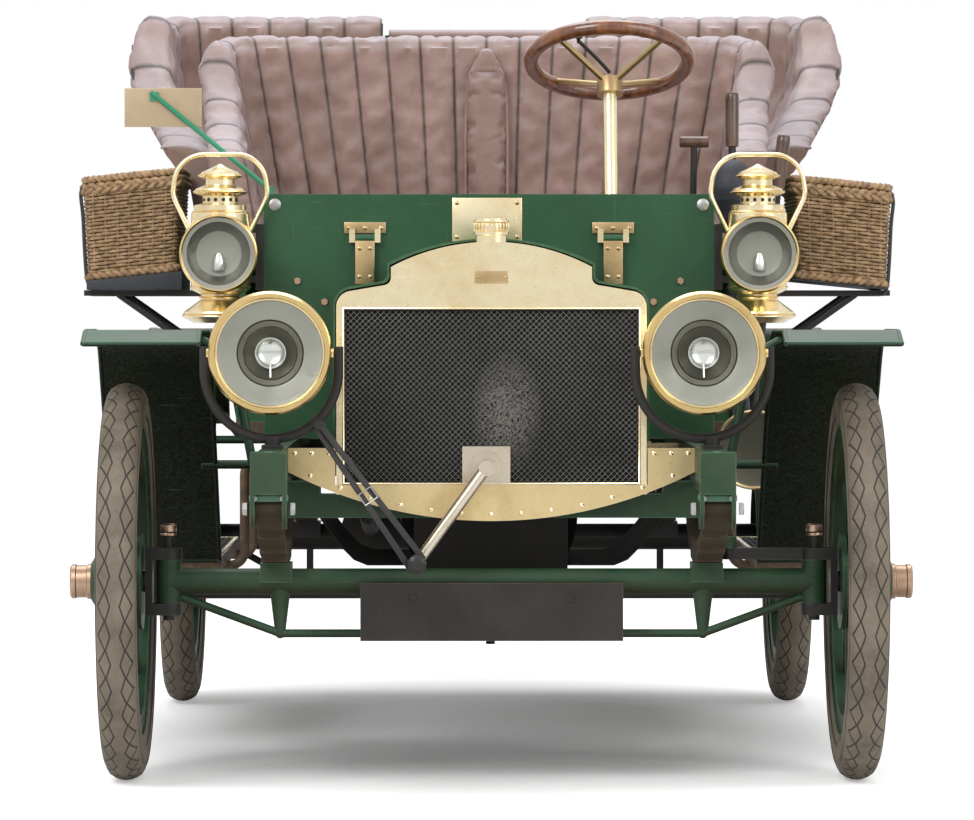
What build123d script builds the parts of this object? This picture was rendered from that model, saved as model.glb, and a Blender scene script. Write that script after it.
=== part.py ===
"""Rear-entrance tonneau car of the brass era, as separate pieces at full size.

Frame: +Z up, -Y forward, +X the car's left side, with the origin on the ground below the middle of the
wheelbase. All sizes are in millimetres. A station is a distance behind the front axle.
"""
from build123d import *
import os
from math import cos, sin, radians

# Wheels and axles
WHEELBASE = 2100
TRACK = 1400
WHEEL_RADIUS = 381
TYRE_WIDTH = 76
TYRE_SHOULDER_DROP = 10
RIM_RADIUS = 300
FELLOE_RADIUS = 258
FELLOE_WIDTH = 54
SPOKE_COUNT = 12
SPOKE_FOOT_RADIUS = 19
SPOKE_TIP_RADIUS = 15
HUB_RADIUS = 58
HUB_FLANGE_RADIUS = 92
HUB_FLANGE_THICKNESS = 10
HUB_INNER_GAP = 5
HUB_CAP_RADIUS = 30
HUB_CAP_END = 808
SPINDLE_RADIUS = 20
SPINDLE_END = 762
BRAKE_DRUM_RADIUS = 130
BRAKE_DRUM_WALL = 9
BRAKE_DRUM_WIDTH = 46
AXLE_RADIUS = 25
REAR_AXLE_RADIUS = 30
DIFFERENTIAL_RADIUS = 112
TRUSS_RADIUS = 8
TRUSS_POST_X = 406
TRUSS_DROP = 100

# Clearances
RUNNING_FIT = 0.05
SEAT_GAP = 0.3
PART_GAP = 5

# Steering
KINGPIN_X = 620
KINGPIN_RADIUS = 11
AXLE_EYE_RADIUS = 24
AXLE_EYE_HEIGHT = 84
JAW_THICKNESS = 22
JAW_WIDTH = 52
YOKE_THICKNESS = 14
YOKE_GAP = 6
GREASER_RADIUS = 15
GREASER_HEIGHT = 22
TIE_ARM_LENGTH = 130
TIE_ROD_RADIUS = 11
TIE_PIN_RADIUS = 7
TIE_EYE_RADIUS = 17
TIE_EYE_HEIGHT = 26
STEERING_ARM_LENGTH = 163
STEERING_ARM_WIDTH = 24
BALL_EYE_RADIUS = 14
DRAG_LINK_RADIUS = 8
DROP_ARM_THICKNESS = 14
DROP_ARM_STATION = 700
DROP_SHAFT_RADIUS = 14
DROP_SHAFT_HEIGHT = 600
COLUMN_X = 256
COLUMN_RAKE = 22
COLUMN_RADIUS = 15
COLUMN_BORE = 9
STEERING_WHEEL_STATION = 1000
STEERING_WHEEL_HEIGHT = 1430
STEERING_WHEEL_RADIUS = 166
STEERING_RIM_THICKNESS = 31
STEERING_DISH = 45

# Chassis frame and springs
RAIL_X = 413
RAIL_WIDTH = 45
RAIL_TOP = 640
RAIL_HEIGHT = 80
RAIL_FRONT = -420
RAIL_REAR = 2534
CROSS_MEMBER_WIDTH = 60
SPRING_WIDTH = 50
SPRING_EYE_RADIUS = 18
SPRING_PIN_RADIUS = 9
SPRING_EYE_HEIGHT = 535
SPRING_LEAF = 9
SPRING_SAG = 72
SPRING_HALF_SPAN = 412
HANGER_RADIUS = 38
HANGER_PLATE = 8
TOW_EYE_BORE = 14
TOW_EYE_RADIUS = 28
TOW_EYE_THICKNESS = 16

# Radiator and bonnet
RADIATOR_HALF_WIDTH = 298
RADIATOR_BOTTOM = 548
RADIATOR_SIDE_HEIGHT = 404
RADIATOR_SHOULDER = RADIATOR_BOTTOM + RADIATOR_SIDE_HEIGHT
RADIATOR_CORNER = 30
RADIATOR_CROWN_INSET = 105
RADIATOR_CROWN_HALF = RADIATOR_HALF_WIDTH - RADIATOR_CROWN_INSET
CROWN_SIDE_RISE = 33
RADIATOR_CROWN_SIDE = RADIATOR_SHOULDER + CROWN_SIDE_RISE
CROWN_ARCH = 48
RADIATOR_TOP = RADIATOR_CROWN_SIDE + CROWN_ARCH
RADIATOR_DEPTH = 100
CORE_SIDE_FRAME = 13
CORE_BOTTOM_FRAME = 20
CORE_TOP_FRAME = 46
CORE_HALF_WIDTH = RADIATOR_HALF_WIDTH - CORE_SIDE_FRAME
CORE_BOTTOM = RADIATOR_BOTTOM + CORE_BOTTOM_FRAME
CORE_TOP = RADIATOR_SHOULDER - CORE_TOP_FRAME
CORE_RECESS = 8
FILLER_RADIUS = 30
FILLER_HEIGHT = 45
FILLER_STATION = 46
APRON_THICKNESS = 4
APRON_BOTTOM = 497
APRON_END_BOTTOM = 591
APRON_TOP = 637
BONNET_GAP = 4
BONNET_SHEET = 4
BONNET_FRONT = 84
BONNET_BOTTOM = 648
DASH_STATION = 720
DASH_THICKNESS = 25
DASH_HALF_WIDTH = 463
DASH_RISE = 109
DASH_TOP = RADIATOR_TOP + DASH_RISE
HINGE_X = 255
HINGE_DROP = 92
HINGE_HEIGHT = DASH_TOP - HINGE_DROP
HINGE_PIN_RADIUS = 5
HINGE_KNUCKLE_RADIUS = 9
HINGE_STRAP_WIDTH = 40
HINGE_LEAF_WIDTH = 84

# Body
FLOOR_THICKNESS = 25
FLOOR_HALF_WIDTH = 463
SEAT_FRONT = 1190
SEAT_DEPTH = 450
SEAT_BACK = SEAT_FRONT + SEAT_DEPTH
SEAT_BASE_HALF_WIDTH = 540
SEAT_BASE_TOP = 930
SEAT_FLARE = 94
SEAT_TOP_HALF_WIDTH = SEAT_BASE_HALF_WIDTH + SEAT_FLARE
SEAT_BACK_HEIGHT = 570
SEAT_TOP = SEAT_BASE_TOP + SEAT_BACK_HEIGHT
SEAT_ARM_HEIGHT = 1235
TUB_WALL = 22
SEAT_PADDING = 60
CUSHION_THICKNESS = 140
TONNEAU_SPACING = 28
TONNEAU_FRONT = SEAT_BACK + TONNEAU_SPACING
TONNEAU_LENGTH = 862
BODY_BACK = TONNEAU_FRONT + TONNEAU_LENGTH
TONNEAU_WALL = 40
TONNEAU_PADDING = 60
TONNEAU_TOP = 1592
TONNEAU_FRONT_HEIGHT = 1260
DOOR_HALF_WIDTH = 237
DOOR_SILL = 720
DOOR_TOP = 1564
DOOR_PIN_RADIUS = 6
DOOR_KNUCKLE_RADIUS = 9

# Fenders and running boards
FENDER_INNER_X = 550
FENDER_OUTER_X = 772
FENDER_SHEET = 6
FENDER_TOP = 864
REAR_FENDER_INNER_X = 610
STAY_RADIUS = 9
BOARD_TOP = 395
BOARD_THICKNESS = 25
BOARD_FRONT = 694
BOARD_REAR = 1620

# Lamps, horn, plate, mirror, baskets
HEADLAMP_XS = (-415, 395)
HEADLAMP_STATION = -215
HEADLAMP_RIM_RADIUS = 114
HEADLAMP_GLASS_RADIUS = 97
HEADLAMP_BODY_RADIUS = 106
HEADLAMP_FRONT = 85
FORK_RADIUS = 9
FORK_SPREAD = 126
FORK_FOOT = 20
FORK_CLEARANCE = 38
FORK_BOTTOM = RAIL_TOP + FORK_FOOT
HEADLAMP_HEIGHT = FORK_BOTTOM + FORK_RADIUS + FORK_CLEARANCE + HEADLAMP_RIM_RADIUS
SIDE_LAMP_X = 551
SIDE_LAMP_STATION = 690
SIDE_LENS_HEIGHT = 1018
SIDE_LENS_RADIUS = 78
SIDE_GLASS_RADIUS = 68
SIDE_BODY_RADIUS = 60
SIDE_LAMP_BOTTOM = 877
PLATE_HALF_WIDTH = 251
PLATE_BOTTOM = 270
PLATE_TOP = 381
PLATE_THICKNESS = 6
PLATE_STATION = -62
HORN_X = 550
HORN_STATION = 800
HORN_HEIGHT = 614
HORN_MOUTH_RADIUS = 82
HORN_TUBE_RADIUS = 9
BULB_X = 515
BULB_HEIGHT = 1156
BASKET_SPACING = 115
BASKET_WIDTH = 227
BASKET_INNER_X = SEAT_BASE_HALF_WIDTH + BASKET_SPACING
BASKET_OUTER_X = BASKET_INNER_X + BASKET_WIDTH
BASKET_FRONT = 1270
BASKET_REAR = 1636
BASKET_BOTTOM = 948
BASKET_TOP = 1203
BASKET_WALL = 12
BASKET_LID = 14
CARRIER_BAR = 12

SIDES = (-1, 1)
REAR_STATION = WHEELBASE
AXLE_HEIGHT = WHEEL_RADIUS
WHEEL_X = TRACK / 2

os.makedirs("parts", exist_ok=True)


def station(behind_front_axle):
    """Y of a place given as its distance behind the front axle."""
    return behind_front_axle - WHEELBASE / 2


def point(x, behind, z):
    """Place from its X, its distance behind the front axle and its height."""
    return Vector(x, station(behind), z)


def block(xs, stations, heights, mode=Mode.ADD):
    """Box between two X values, two stations and two heights."""
    corner = point(min(xs), min(stations), min(heights))
    lengths = [max(pair) - min(pair) for pair in (xs, stations, heights)]
    with Locations(corner):
        Box(*lengths, align=(Align.MIN, Align.MIN, Align.MIN), mode=mode)


def rod(start, end, radius, mode=Mode.ADD):
    """Round bar between two places."""
    with Locations(Plane(origin=start, z_dir=end - start)):
        Cylinder(radius, (end - start).length, align=(Align.CENTER, Align.CENTER, Align.MIN), mode=mode)


def bent_rod(route, radius, bend):
    """Round bar along straight runs joined by arcs of one bend radius."""
    with BuildLine() as path:
        FilletPolyline(*route, radius=bend)
    with BuildSketch(Plane(origin=route[0], z_dir=route[1] - route[0])) as section:
        Circle(radius)
    sweep(section.sketch, path=path.wire())


def turned(profile, origin, direction, mode=Mode.ADD):
    """Solid of revolution: profile points are (radius, distance along the direction)."""
    along = Vector(*direction).normalized()
    across = Vector(1, 0, 0) if abs(along.X) < 0.9 else Vector(0, 0, 1)
    across = (across - along * across.dot(along)).normalized()
    with BuildSketch(Plane(origin=origin, x_dir=across, z_dir=across.cross(along))) as outline:
        with BuildLine():
            Polyline(*profile, close=True)
        make_face()
    revolve(outline.sketch, axis=Axis(origin, along), mode=mode)


def side_plate(outline, xs, mode=Mode.ADD):
    """Plate across X from a side outline of (station, height) corners."""
    with BuildSketch(Plane.YZ.offset(min(xs))) as face:
        with BuildLine():
            Polyline(*[(station(behind), z) for behind, z in outline], close=True)
        make_face()
    extrude(face.sketch, amount=max(xs) - min(xs), mode=mode)


def save(builder, name):
    """Label a finished piece and write it to its own file."""
    builder.part.label = name
    export_step(builder.part, f"parts/{name}.step")


# Chassis frame: rails, cross members, spring hangers and a rear tow eye
RAIL_BOTTOM = RAIL_TOP - RAIL_HEIGHT
RAIL_INNER = RAIL_X - RAIL_WIDTH / 2
RAIL_OUTER = RAIL_X + RAIL_WIDTH / 2
CHEEK_INNER = SPRING_WIDTH / 2 + SEAT_GAP
CHEEK_OUTER = CHEEK_INNER + HANGER_PLATE
CROSS_STATIONS = (780, 1500, 2440)
SPRING_CENTRES = (0, REAR_STATION)

with BuildPart() as frame:
    for side in SIDES:
        block((side * RAIL_INNER, side * RAIL_OUTER), (RAIL_FRONT, RAIL_REAR), (RAIL_BOTTOM, RAIL_TOP))
    block((-RAIL_X, RAIL_X), (20, 20 + CROSS_MEMBER_WIDTH),
          (RADIATOR_BOTTOM - 46, RADIATOR_BOTTOM - SEAT_GAP))
    for side in SIDES:
        block((side * (RAIL_INNER - 60), side * RAIL_X), (20, 20 + CROSS_MEMBER_WIDTH),
              (RADIATOR_BOTTOM - 46, RAIL_BOTTOM + 12))
    for behind in CROSS_STATIONS:
        block((-RAIL_X, RAIL_X), (behind, behind + CROSS_MEMBER_WIDTH), (RAIL_BOTTOM, RAIL_TOP - 20))
    for side in SIDES:
        for centre in SPRING_CENTRES:
            for end in SIDES:
                eye = centre + end * SPRING_HALF_SPAN
                reach = (eye - HANGER_RADIUS, eye + HANGER_RADIUS)
                top = RAIL_TOP if eye < 0 else RAIL_BOTTOM + 26
                block((side * RAIL_X - CHEEK_OUTER, side * RAIL_X + CHEEK_OUTER), reach,
                      (RAIL_BOTTOM + 2, top))
                for cheek in SIDES:
                    near = side * RAIL_X + cheek * CHEEK_INNER
                    far = side * RAIL_X + cheek * CHEEK_OUTER
                    block((near, far), reach, (SPRING_EYE_HEIGHT, RAIL_BOTTOM + 2))
                    rod(point(near, eye, SPRING_EYE_HEIGHT), point(far, eye, SPRING_EYE_HEIGHT),
                        HANGER_RADIUS)
                rod(point(side * RAIL_X - CHEEK_OUTER, eye, SPRING_EYE_HEIGHT),
                    point(side * RAIL_X + CHEEK_OUTER, eye, SPRING_EYE_HEIGHT),
                    SPRING_PIN_RADIUS - RUNNING_FIT)
    tow_station = CROSS_STATIONS[-1] + CROSS_MEMBER_WIDTH
    tow_height = RAIL_TOP - 20 - TOW_EYE_THICKNESS / 2
    tow_eye = point(0, tow_station + TOW_EYE_RADIUS / 2, tow_height)
    block((-TOW_EYE_RADIUS, TOW_EYE_RADIUS), (tow_station - 5, tow_station + TOW_EYE_RADIUS / 2),
          (tow_height - TOW_EYE_THICKNESS / 2, tow_height + TOW_EYE_THICKNESS / 2))
    with Locations(tow_eye):
        Cylinder(TOW_EYE_RADIUS, TOW_EYE_THICKNESS)
        Cylinder(TOW_EYE_BORE, TOW_EYE_THICKNESS, mode=Mode.SUBTRACT)
    rod(point(RAIL_INNER - 1, DROP_ARM_STATION, DROP_SHAFT_HEIGHT),
        point(RAIL_OUTER + 1, DROP_ARM_STATION, DROP_SHAFT_HEIGHT), DROP_SHAFT_RADIUS + 1,
        mode=Mode.SUBTRACT)
save(frame, "frame")

# Leaf springs: each leaf is shorter than the one above it
LEAF_HALF_LENGTHS = (SPRING_HALF_SPAN, 310, 215, 125)
LEAF_END_TOP = SPRING_EYE_HEIGHT - SPRING_EYE_RADIUS + SPRING_LEAF
LEAF_RADIUS = (SPRING_HALF_SPAN ** 2 + SPRING_SAG ** 2) / (2 * SPRING_SAG)
LEAF_CENTRE = LEAF_END_TOP - SPRING_SAG + LEAF_RADIUS
SPRING_BOTTOM = LEAF_END_TOP - SPRING_SAG - SPRING_LEAF * len(LEAF_HALF_LENGTHS)


def leaf_arc(radius, half_length, centre_station):
    """Corner, middle and corner of one face of a leaf, as (Y, Z)."""
    end_height = LEAF_CENTRE - (radius ** 2 - half_length ** 2) ** 0.5
    middle = station(centre_station)
    return (middle - half_length, end_height), (middle, LEAF_CENTRE - radius), (middle + half_length,
                                                                                end_height)


def leaf_spring(x, centre_station):
    """Stack of curved leaves with an eye at each end."""
    for index, half_length in enumerate(LEAF_HALF_LENGTHS):
        upper = leaf_arc(LEAF_RADIUS + index * SPRING_LEAF, half_length, centre_station)
        lower = leaf_arc(LEAF_RADIUS + (index + 1) * SPRING_LEAF, half_length, centre_station)
        with BuildSketch(Plane.YZ.offset(x - SPRING_WIDTH / 2)) as leaf:
            with BuildLine():
                ThreePointArc(*upper)
                Line(upper[2], lower[2])
                ThreePointArc(*lower)
                Line(lower[0], upper[0])
            make_face()
        extrude(leaf.sketch, amount=SPRING_WIDTH)
    for end in SIDES:
        eye = centre_station + end * SPRING_HALF_SPAN
        ends = [point(x + half * SPRING_WIDTH / 2, eye, SPRING_EYE_HEIGHT) for half in SIDES]
        rod(*ends, SPRING_EYE_RADIUS)
        rod(*ends, SPRING_PIN_RADIUS, mode=Mode.SUBTRACT)


with BuildPart() as springs:
    for side in SIDES:
        for centre in SPRING_CENTRES:
            leaf_spring(side * RAIL_X, centre)
save(springs, "springs")

# Front axle: tube with a kingpin eye at each end, spring pads and a truss rod below
EYE_HALF = AXLE_EYE_HEIGHT / 2
TRUSS_HEIGHT = AXLE_HEIGHT - TRUSS_DROP

with BuildPart() as front_axle:
    rod(point(-KINGPIN_X, 0, AXLE_HEIGHT), point(KINGPIN_X, 0, AXLE_HEIGHT), AXLE_RADIUS)
    for side in SIDES:
        with Locations(point(side * KINGPIN_X, 0, AXLE_HEIGHT)):
            Cylinder(AXLE_EYE_RADIUS, AXLE_EYE_HEIGHT)
        block((side * RAIL_X - 30, side * RAIL_X + 30), (-45, 45), (AXLE_HEIGHT, SPRING_BOTTOM - SEAT_GAP))
        post = point(side * TRUSS_POST_X, 0, TRUSS_HEIGHT)
        turned([(0, 0), (TRUSS_RADIUS + 2, 0), (AXLE_RADIUS - 3, TRUSS_DROP), (0, TRUSS_DROP)], post,
               (0, 0, 1))
        rod(post, point(side * (KINGPIN_X - AXLE_EYE_RADIUS), 0, AXLE_HEIGHT - EYE_HALF + 12), TRUSS_RADIUS)
        with Locations(post):
            Sphere(TRUSS_RADIUS + 2)
    rod(point(-TRUSS_POST_X, 0, TRUSS_HEIGHT), point(TRUSS_POST_X, 0, TRUSS_HEIGHT), TRUSS_RADIUS)
    for side in SIDES:
        with Locations(point(side * KINGPIN_X, 0, AXLE_HEIGHT)):
            Cylinder(KINGPIN_RADIUS + RUNNING_FIT, AXLE_EYE_HEIGHT + 40, mode=Mode.SUBTRACT)
save(front_axle, "front_axle")

# Rear axle: tube, differential casing, spring pads and wheel spindles
HUB_INNER_X = KINGPIN_X + AXLE_EYE_RADIUS + YOKE_GAP + YOKE_THICKNESS + HUB_INNER_GAP
REAR_TUBE_END = HUB_INNER_X - HUB_INNER_GAP

with BuildPart() as rear_axle:
    rod(point(-REAR_TUBE_END, REAR_STATION, AXLE_HEIGHT), point(REAR_TUBE_END, REAR_STATION, AXLE_HEIGHT),
        REAR_AXLE_RADIUS)
    rod(point(-SPINDLE_END, REAR_STATION, AXLE_HEIGHT), point(SPINDLE_END, REAR_STATION, AXLE_HEIGHT),
        SPINDLE_RADIUS)
    casing = [(0, -110), (60, -110), (DIFFERENTIAL_RADIUS, -60), (DIFFERENTIAL_RADIUS, 60), (60, 110),
              (0, 110)]
    turned(casing, point(0, REAR_STATION, AXLE_HEIGHT), (1, 0, 0))
    for side in SIDES:
        block((side * RAIL_X - 32, side * RAIL_X + 32), (REAR_STATION - 45, REAR_STATION + 45),
              (AXLE_HEIGHT, SPRING_BOTTOM - SEAT_GAP))
        post = point(side * TRUSS_POST_X, REAR_STATION, AXLE_HEIGHT - DIFFERENTIAL_RADIUS - 10)
        rod(post, point(side * TRUSS_POST_X, REAR_STATION, AXLE_HEIGHT), TRUSS_RADIUS)
        rod(post, point(side * (KINGPIN_X - 30), REAR_STATION, AXLE_HEIGHT - 20), TRUSS_RADIUS)
        with Locations(post):
            Sphere(TRUSS_RADIUS)
    truss_low = AXLE_HEIGHT - DIFFERENTIAL_RADIUS - 10
    rod(point(-TRUSS_POST_X, REAR_STATION, truss_low), point(TRUSS_POST_X, REAR_STATION, truss_low),
        TRUSS_RADIUS)
save(rear_axle, "rear_axle")

# Engine: crankcase, cylinder block, flywheel and the arms that rest in the frame
BEARER_END = RAIL_INNER - SEAT_GAP
BEARER_HEIGHTS = (RAIL_BOTTOM + 25, RAIL_BOTTOM + 55)
CRANKCASE_HALF = 150
CRANKCASE = ((170, 640), (330, 600))
CYLINDER_HALF = 120
CYLINDERS = ((200, 570), (CRANKCASE[1][1], 900))
ENGINE_BEARERS = (230, 560)
ENGINE_BEARER_WIDTH = 45
FLYWHEEL_RADIUS = 180
FLYWHEEL_HEIGHT = 490
FLYWHEEL_STATIONS = (620, 690)
DRAIN_STATION = 300
DRAIN_RADIUS = 9
DRAIN_HEIGHTS = (335, 242)

with BuildPart() as engine:
    block((-CRANKCASE_HALF, CRANKCASE_HALF), *CRANKCASE)
    block((-CYLINDER_HALF, CYLINDER_HALF), *CYLINDERS)
    for behind in ENGINE_BEARERS:
        block((-BEARER_END, BEARER_END), (behind, behind + ENGINE_BEARER_WIDTH), BEARER_HEIGHTS)
    rod(*[point(0, behind, FLYWHEEL_HEIGHT) for behind in FLYWHEEL_STATIONS], FLYWHEEL_RADIUS)
    rod(*[point(0, DRAIN_STATION, height) for height in DRAIN_HEIGHTS], DRAIN_RADIUS)
save(engine, "engine")

# Gearbox with its bearer arms and the propeller shaft
GEARBOX_HALF = 120
GEARBOX_STATIONS = (860, 1240)
GEARBOX_HEIGHTS = (400, 625)
GEARBOX_BEARERS = (900, 1160)
GEARBOX_BEARER_WIDTH = 40
SHAFT_RADIUS = 25
SHAFT_START_HEIGHT = 430
SHAFT_END_STATION = REAR_STATION - DIFFERENTIAL_RADIUS - PART_GAP

with BuildPart() as gearbox:
    block((-GEARBOX_HALF, GEARBOX_HALF), GEARBOX_STATIONS, GEARBOX_HEIGHTS)
    for behind in GEARBOX_BEARERS:
        block((-BEARER_END, BEARER_END), (behind, behind + GEARBOX_BEARER_WIDTH), BEARER_HEIGHTS)
    rod(point(0, GEARBOX_STATIONS[1] - 10, SHAFT_START_HEIGHT),
        point(0, SHAFT_END_STATION, AXLE_HEIGHT + 10), SHAFT_RADIUS)
    rod(point(0, FLYWHEEL_STATIONS[1] + PART_GAP, FLYWHEEL_HEIGHT),
        point(0, GEARBOX_STATIONS[0] + 10, FLYWHEEL_HEIGHT), SHAFT_RADIUS)
save(gearbox, "gearbox")

# Exhaust: pipe from the engine and a silencer hung from a cross member
SILENCER_X = -250
SILENCER_HEIGHT = 430
SILENCER_RADIUS = 66
SILENCER_STATIONS = (1300, 1780)
EXHAUST_STATION = 420
EXHAUST_HEIGHT = 520
EXHAUST_RADIUS = 20
EXHAUST_BEND = 45
TAIL_PIPE_END = 1930
SILENCER_STRAP_HALF = 12

with BuildPart() as exhaust:
    bent_rod([point(-CRANKCASE_HALF - SEAT_GAP, EXHAUST_STATION, EXHAUST_HEIGHT),
              point(SILENCER_X, EXHAUST_STATION, EXHAUST_HEIGHT),
              point(SILENCER_X, SILENCER_STATIONS[0] + 20, SILENCER_HEIGHT)], EXHAUST_RADIUS, EXHAUST_BEND)
    rod(*[point(SILENCER_X, behind, SILENCER_HEIGHT) for behind in SILENCER_STATIONS], SILENCER_RADIUS)
    rod(point(SILENCER_X, SILENCER_STATIONS[1] - 10, SILENCER_HEIGHT),
        point(SILENCER_X, TAIL_PIPE_END, SILENCER_HEIGHT), EXHAUST_RADIUS - 2)
    block((SILENCER_X - SILENCER_STRAP_HALF, SILENCER_X + SILENCER_STRAP_HALF),
          (CROSS_STATIONS[1] + 10, CROSS_STATIONS[1] + 50), (SILENCER_HEIGHT, RAIL_BOTTOM - SEAT_GAP))
save(exhaust, "exhaust")

# Steering knuckles: a yoke around the axle eye, a wheel spindle and a tie-rod arm
JAW_GAP = SEAT_GAP
JAW_INNER = EYE_HALF + JAW_GAP
JAW_OUTER = JAW_INNER + JAW_THICKNESS
YOKE_INNER_X = KINGPIN_X + AXLE_EYE_RADIUS + YOKE_GAP
YOKE_OUTER_X = YOKE_INNER_X + YOKE_THICKNESS
UPPER_JAW = (AXLE_HEIGHT + JAW_INNER, AXLE_HEIGHT + JAW_OUTER)
LOWER_JAW = (AXLE_HEIGHT - JAW_OUTER, AXLE_HEIGHT - JAW_INNER)
TIE_EYE_BOTTOM = LOWER_JAW[1] + SEAT_GAP
BALL_X = KINGPIN_X - STEERING_ARM_LENGTH
BALL_PIN_RADIUS = 6
BALL_EYE_HEIGHT = 22


def knuckle(side):
    """Yoke, kingpin with greaser, spindle and rear arm of one side."""
    pin_x = side * KINGPIN_X
    for jaw in (UPPER_JAW, LOWER_JAW):
        block((pin_x, side * YOKE_OUTER_X), (-JAW_WIDTH / 2, JAW_WIDTH / 2), jaw)
        rod(point(pin_x, 0, jaw[0]), point(pin_x, 0, jaw[1]), JAW_WIDTH / 2)
    block((side * YOKE_INNER_X, side * YOKE_OUTER_X), (-JAW_WIDTH / 2, JAW_WIDTH / 2),
          (LOWER_JAW[0], UPPER_JAW[1]))
    rod(point(side * YOKE_INNER_X, 0, AXLE_HEIGHT), point(side * SPINDLE_END, 0, AXLE_HEIGHT),
        SPINDLE_RADIUS)
    rod(point(pin_x, 0, LOWER_JAW[0] - 10), point(pin_x, 0, UPPER_JAW[1] + 24), KINGPIN_RADIUS)
    rod(point(pin_x, 0, UPPER_JAW[1] + 24), point(pin_x, 0, UPPER_JAW[1] + 24 + GREASER_HEIGHT),
        GREASER_RADIUS)
    block((pin_x - 12, pin_x + 12), (0, TIE_ARM_LENGTH), LOWER_JAW)
    rod(point(pin_x, TIE_ARM_LENGTH, LOWER_JAW[0]), point(pin_x, TIE_ARM_LENGTH, LOWER_JAW[1]),
        TIE_EYE_RADIUS)
    rod(point(pin_x, TIE_ARM_LENGTH, LOWER_JAW[0]),
        point(pin_x, TIE_ARM_LENGTH, TIE_EYE_BOTTOM + TIE_EYE_HEIGHT + 6), TIE_PIN_RADIUS)


with BuildPart() as knuckle_left:
    knuckle(1)
    block((BALL_X, KINGPIN_X), (-STEERING_ARM_WIDTH / 2, STEERING_ARM_WIDTH / 2), UPPER_JAW)
    rod(point(BALL_X, 0, UPPER_JAW[0]), point(BALL_X, 0, UPPER_JAW[1]), BALL_EYE_RADIUS)
    rod(point(BALL_X, 0, UPPER_JAW[0]), point(BALL_X, 0, UPPER_JAW[1] + BALL_EYE_HEIGHT + 5),
        BALL_PIN_RADIUS)
save(knuckle_left, "knuckle_left")

with BuildPart() as knuckle_right:
    knuckle(-1)
save(knuckle_right, "knuckle_right")

# Tie rod between the two knuckle arms
TIE_HEIGHT = TIE_EYE_BOTTOM + TIE_EYE_HEIGHT / 2

with BuildPart() as tie_rod:
    rod(point(-KINGPIN_X, TIE_ARM_LENGTH, TIE_HEIGHT), point(KINGPIN_X, TIE_ARM_LENGTH, TIE_HEIGHT),
        TIE_ROD_RADIUS)
    for side in SIDES:
        with Locations(point(side * KINGPIN_X, TIE_ARM_LENGTH, TIE_HEIGHT)):
            Cylinder(TIE_EYE_RADIUS, TIE_EYE_HEIGHT)
    for side in SIDES:
        with Locations(point(side * KINGPIN_X, TIE_ARM_LENGTH, TIE_HEIGHT)):
            Cylinder(TIE_PIN_RADIUS + RUNNING_FIT, TIE_EYE_HEIGHT + 2, mode=Mode.SUBTRACT)
save(tie_rod, "tie_rod")

# Drag link from the left knuckle's ball to the drop arm
DROP_ARM_INNER = RAIL_OUTER + PART_GAP
DROP_ARM_OUTER = DROP_ARM_INNER + DROP_ARM_THICKNESS
DROP_END_HEIGHT = DROP_SHAFT_HEIGHT - STEERING_ARM_LENGTH
LINK_EYE_BOTTOM = UPPER_JAW[1] + SEAT_GAP
LINK_EYE_MIDDLE = LINK_EYE_BOTTOM + BALL_EYE_HEIGHT / 2
LINK_BOSS = (DROP_ARM_OUTER + SEAT_GAP, DROP_ARM_OUTER + SEAT_GAP + 18)
LINK_BOSS_RADIUS = 17

with BuildPart() as drag_link:
    rod(point(BALL_X, 0, LINK_EYE_BOTTOM), point(BALL_X, 0, LINK_EYE_BOTTOM + BALL_EYE_HEIGHT),
        BALL_EYE_RADIUS)
    rod(point(BALL_X, 0, LINK_EYE_MIDDLE), point(sum(LINK_BOSS) / 2, DROP_ARM_STATION, DROP_END_HEIGHT),
        DRAG_LINK_RADIUS)
    rod(point(LINK_BOSS[0], DROP_ARM_STATION, DROP_END_HEIGHT),
        point(LINK_BOSS[1], DROP_ARM_STATION, DROP_END_HEIGHT), LINK_BOSS_RADIUS)
    rod(point(BALL_X, 0, LINK_EYE_BOTTOM - 1), point(BALL_X, 0, LINK_EYE_BOTTOM + BALL_EYE_HEIGHT + 1),
        BALL_PIN_RADIUS + RUNNING_FIT, mode=Mode.SUBTRACT)
save(drag_link, "drag_link")

# Drop arm on its cross shaft, and the steering box and column tube that carry it
BOX_OUTER_X = COLUMN_X + 75
SHAFT_INNER_X = COLUMN_X + 40
COLUMN_AXIS = Vector(0, sin(radians(COLUMN_RAKE)), cos(radians(COLUMN_RAKE)))
WHEEL_CENTRE = point(COLUMN_X, STEERING_WHEEL_STATION, STEERING_WHEEL_HEIGHT)
SPIDER_HUB_RADIUS = 27
SPIDER_HUB_LENGTH = 34
COLUMN_TOP = WHEEL_CENTRE - COLUMN_AXIS * (STEERING_DISH + SPIDER_HUB_LENGTH + SEAT_GAP)
COLUMN_FOOT_HEIGHT = DROP_SHAFT_HEIGHT + 20
COLUMN_FOOT = WHEEL_CENTRE - COLUMN_AXIS * ((STEERING_WHEEL_HEIGHT - COLUMN_FOOT_HEIGHT) / COLUMN_AXIS.Z)

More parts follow.
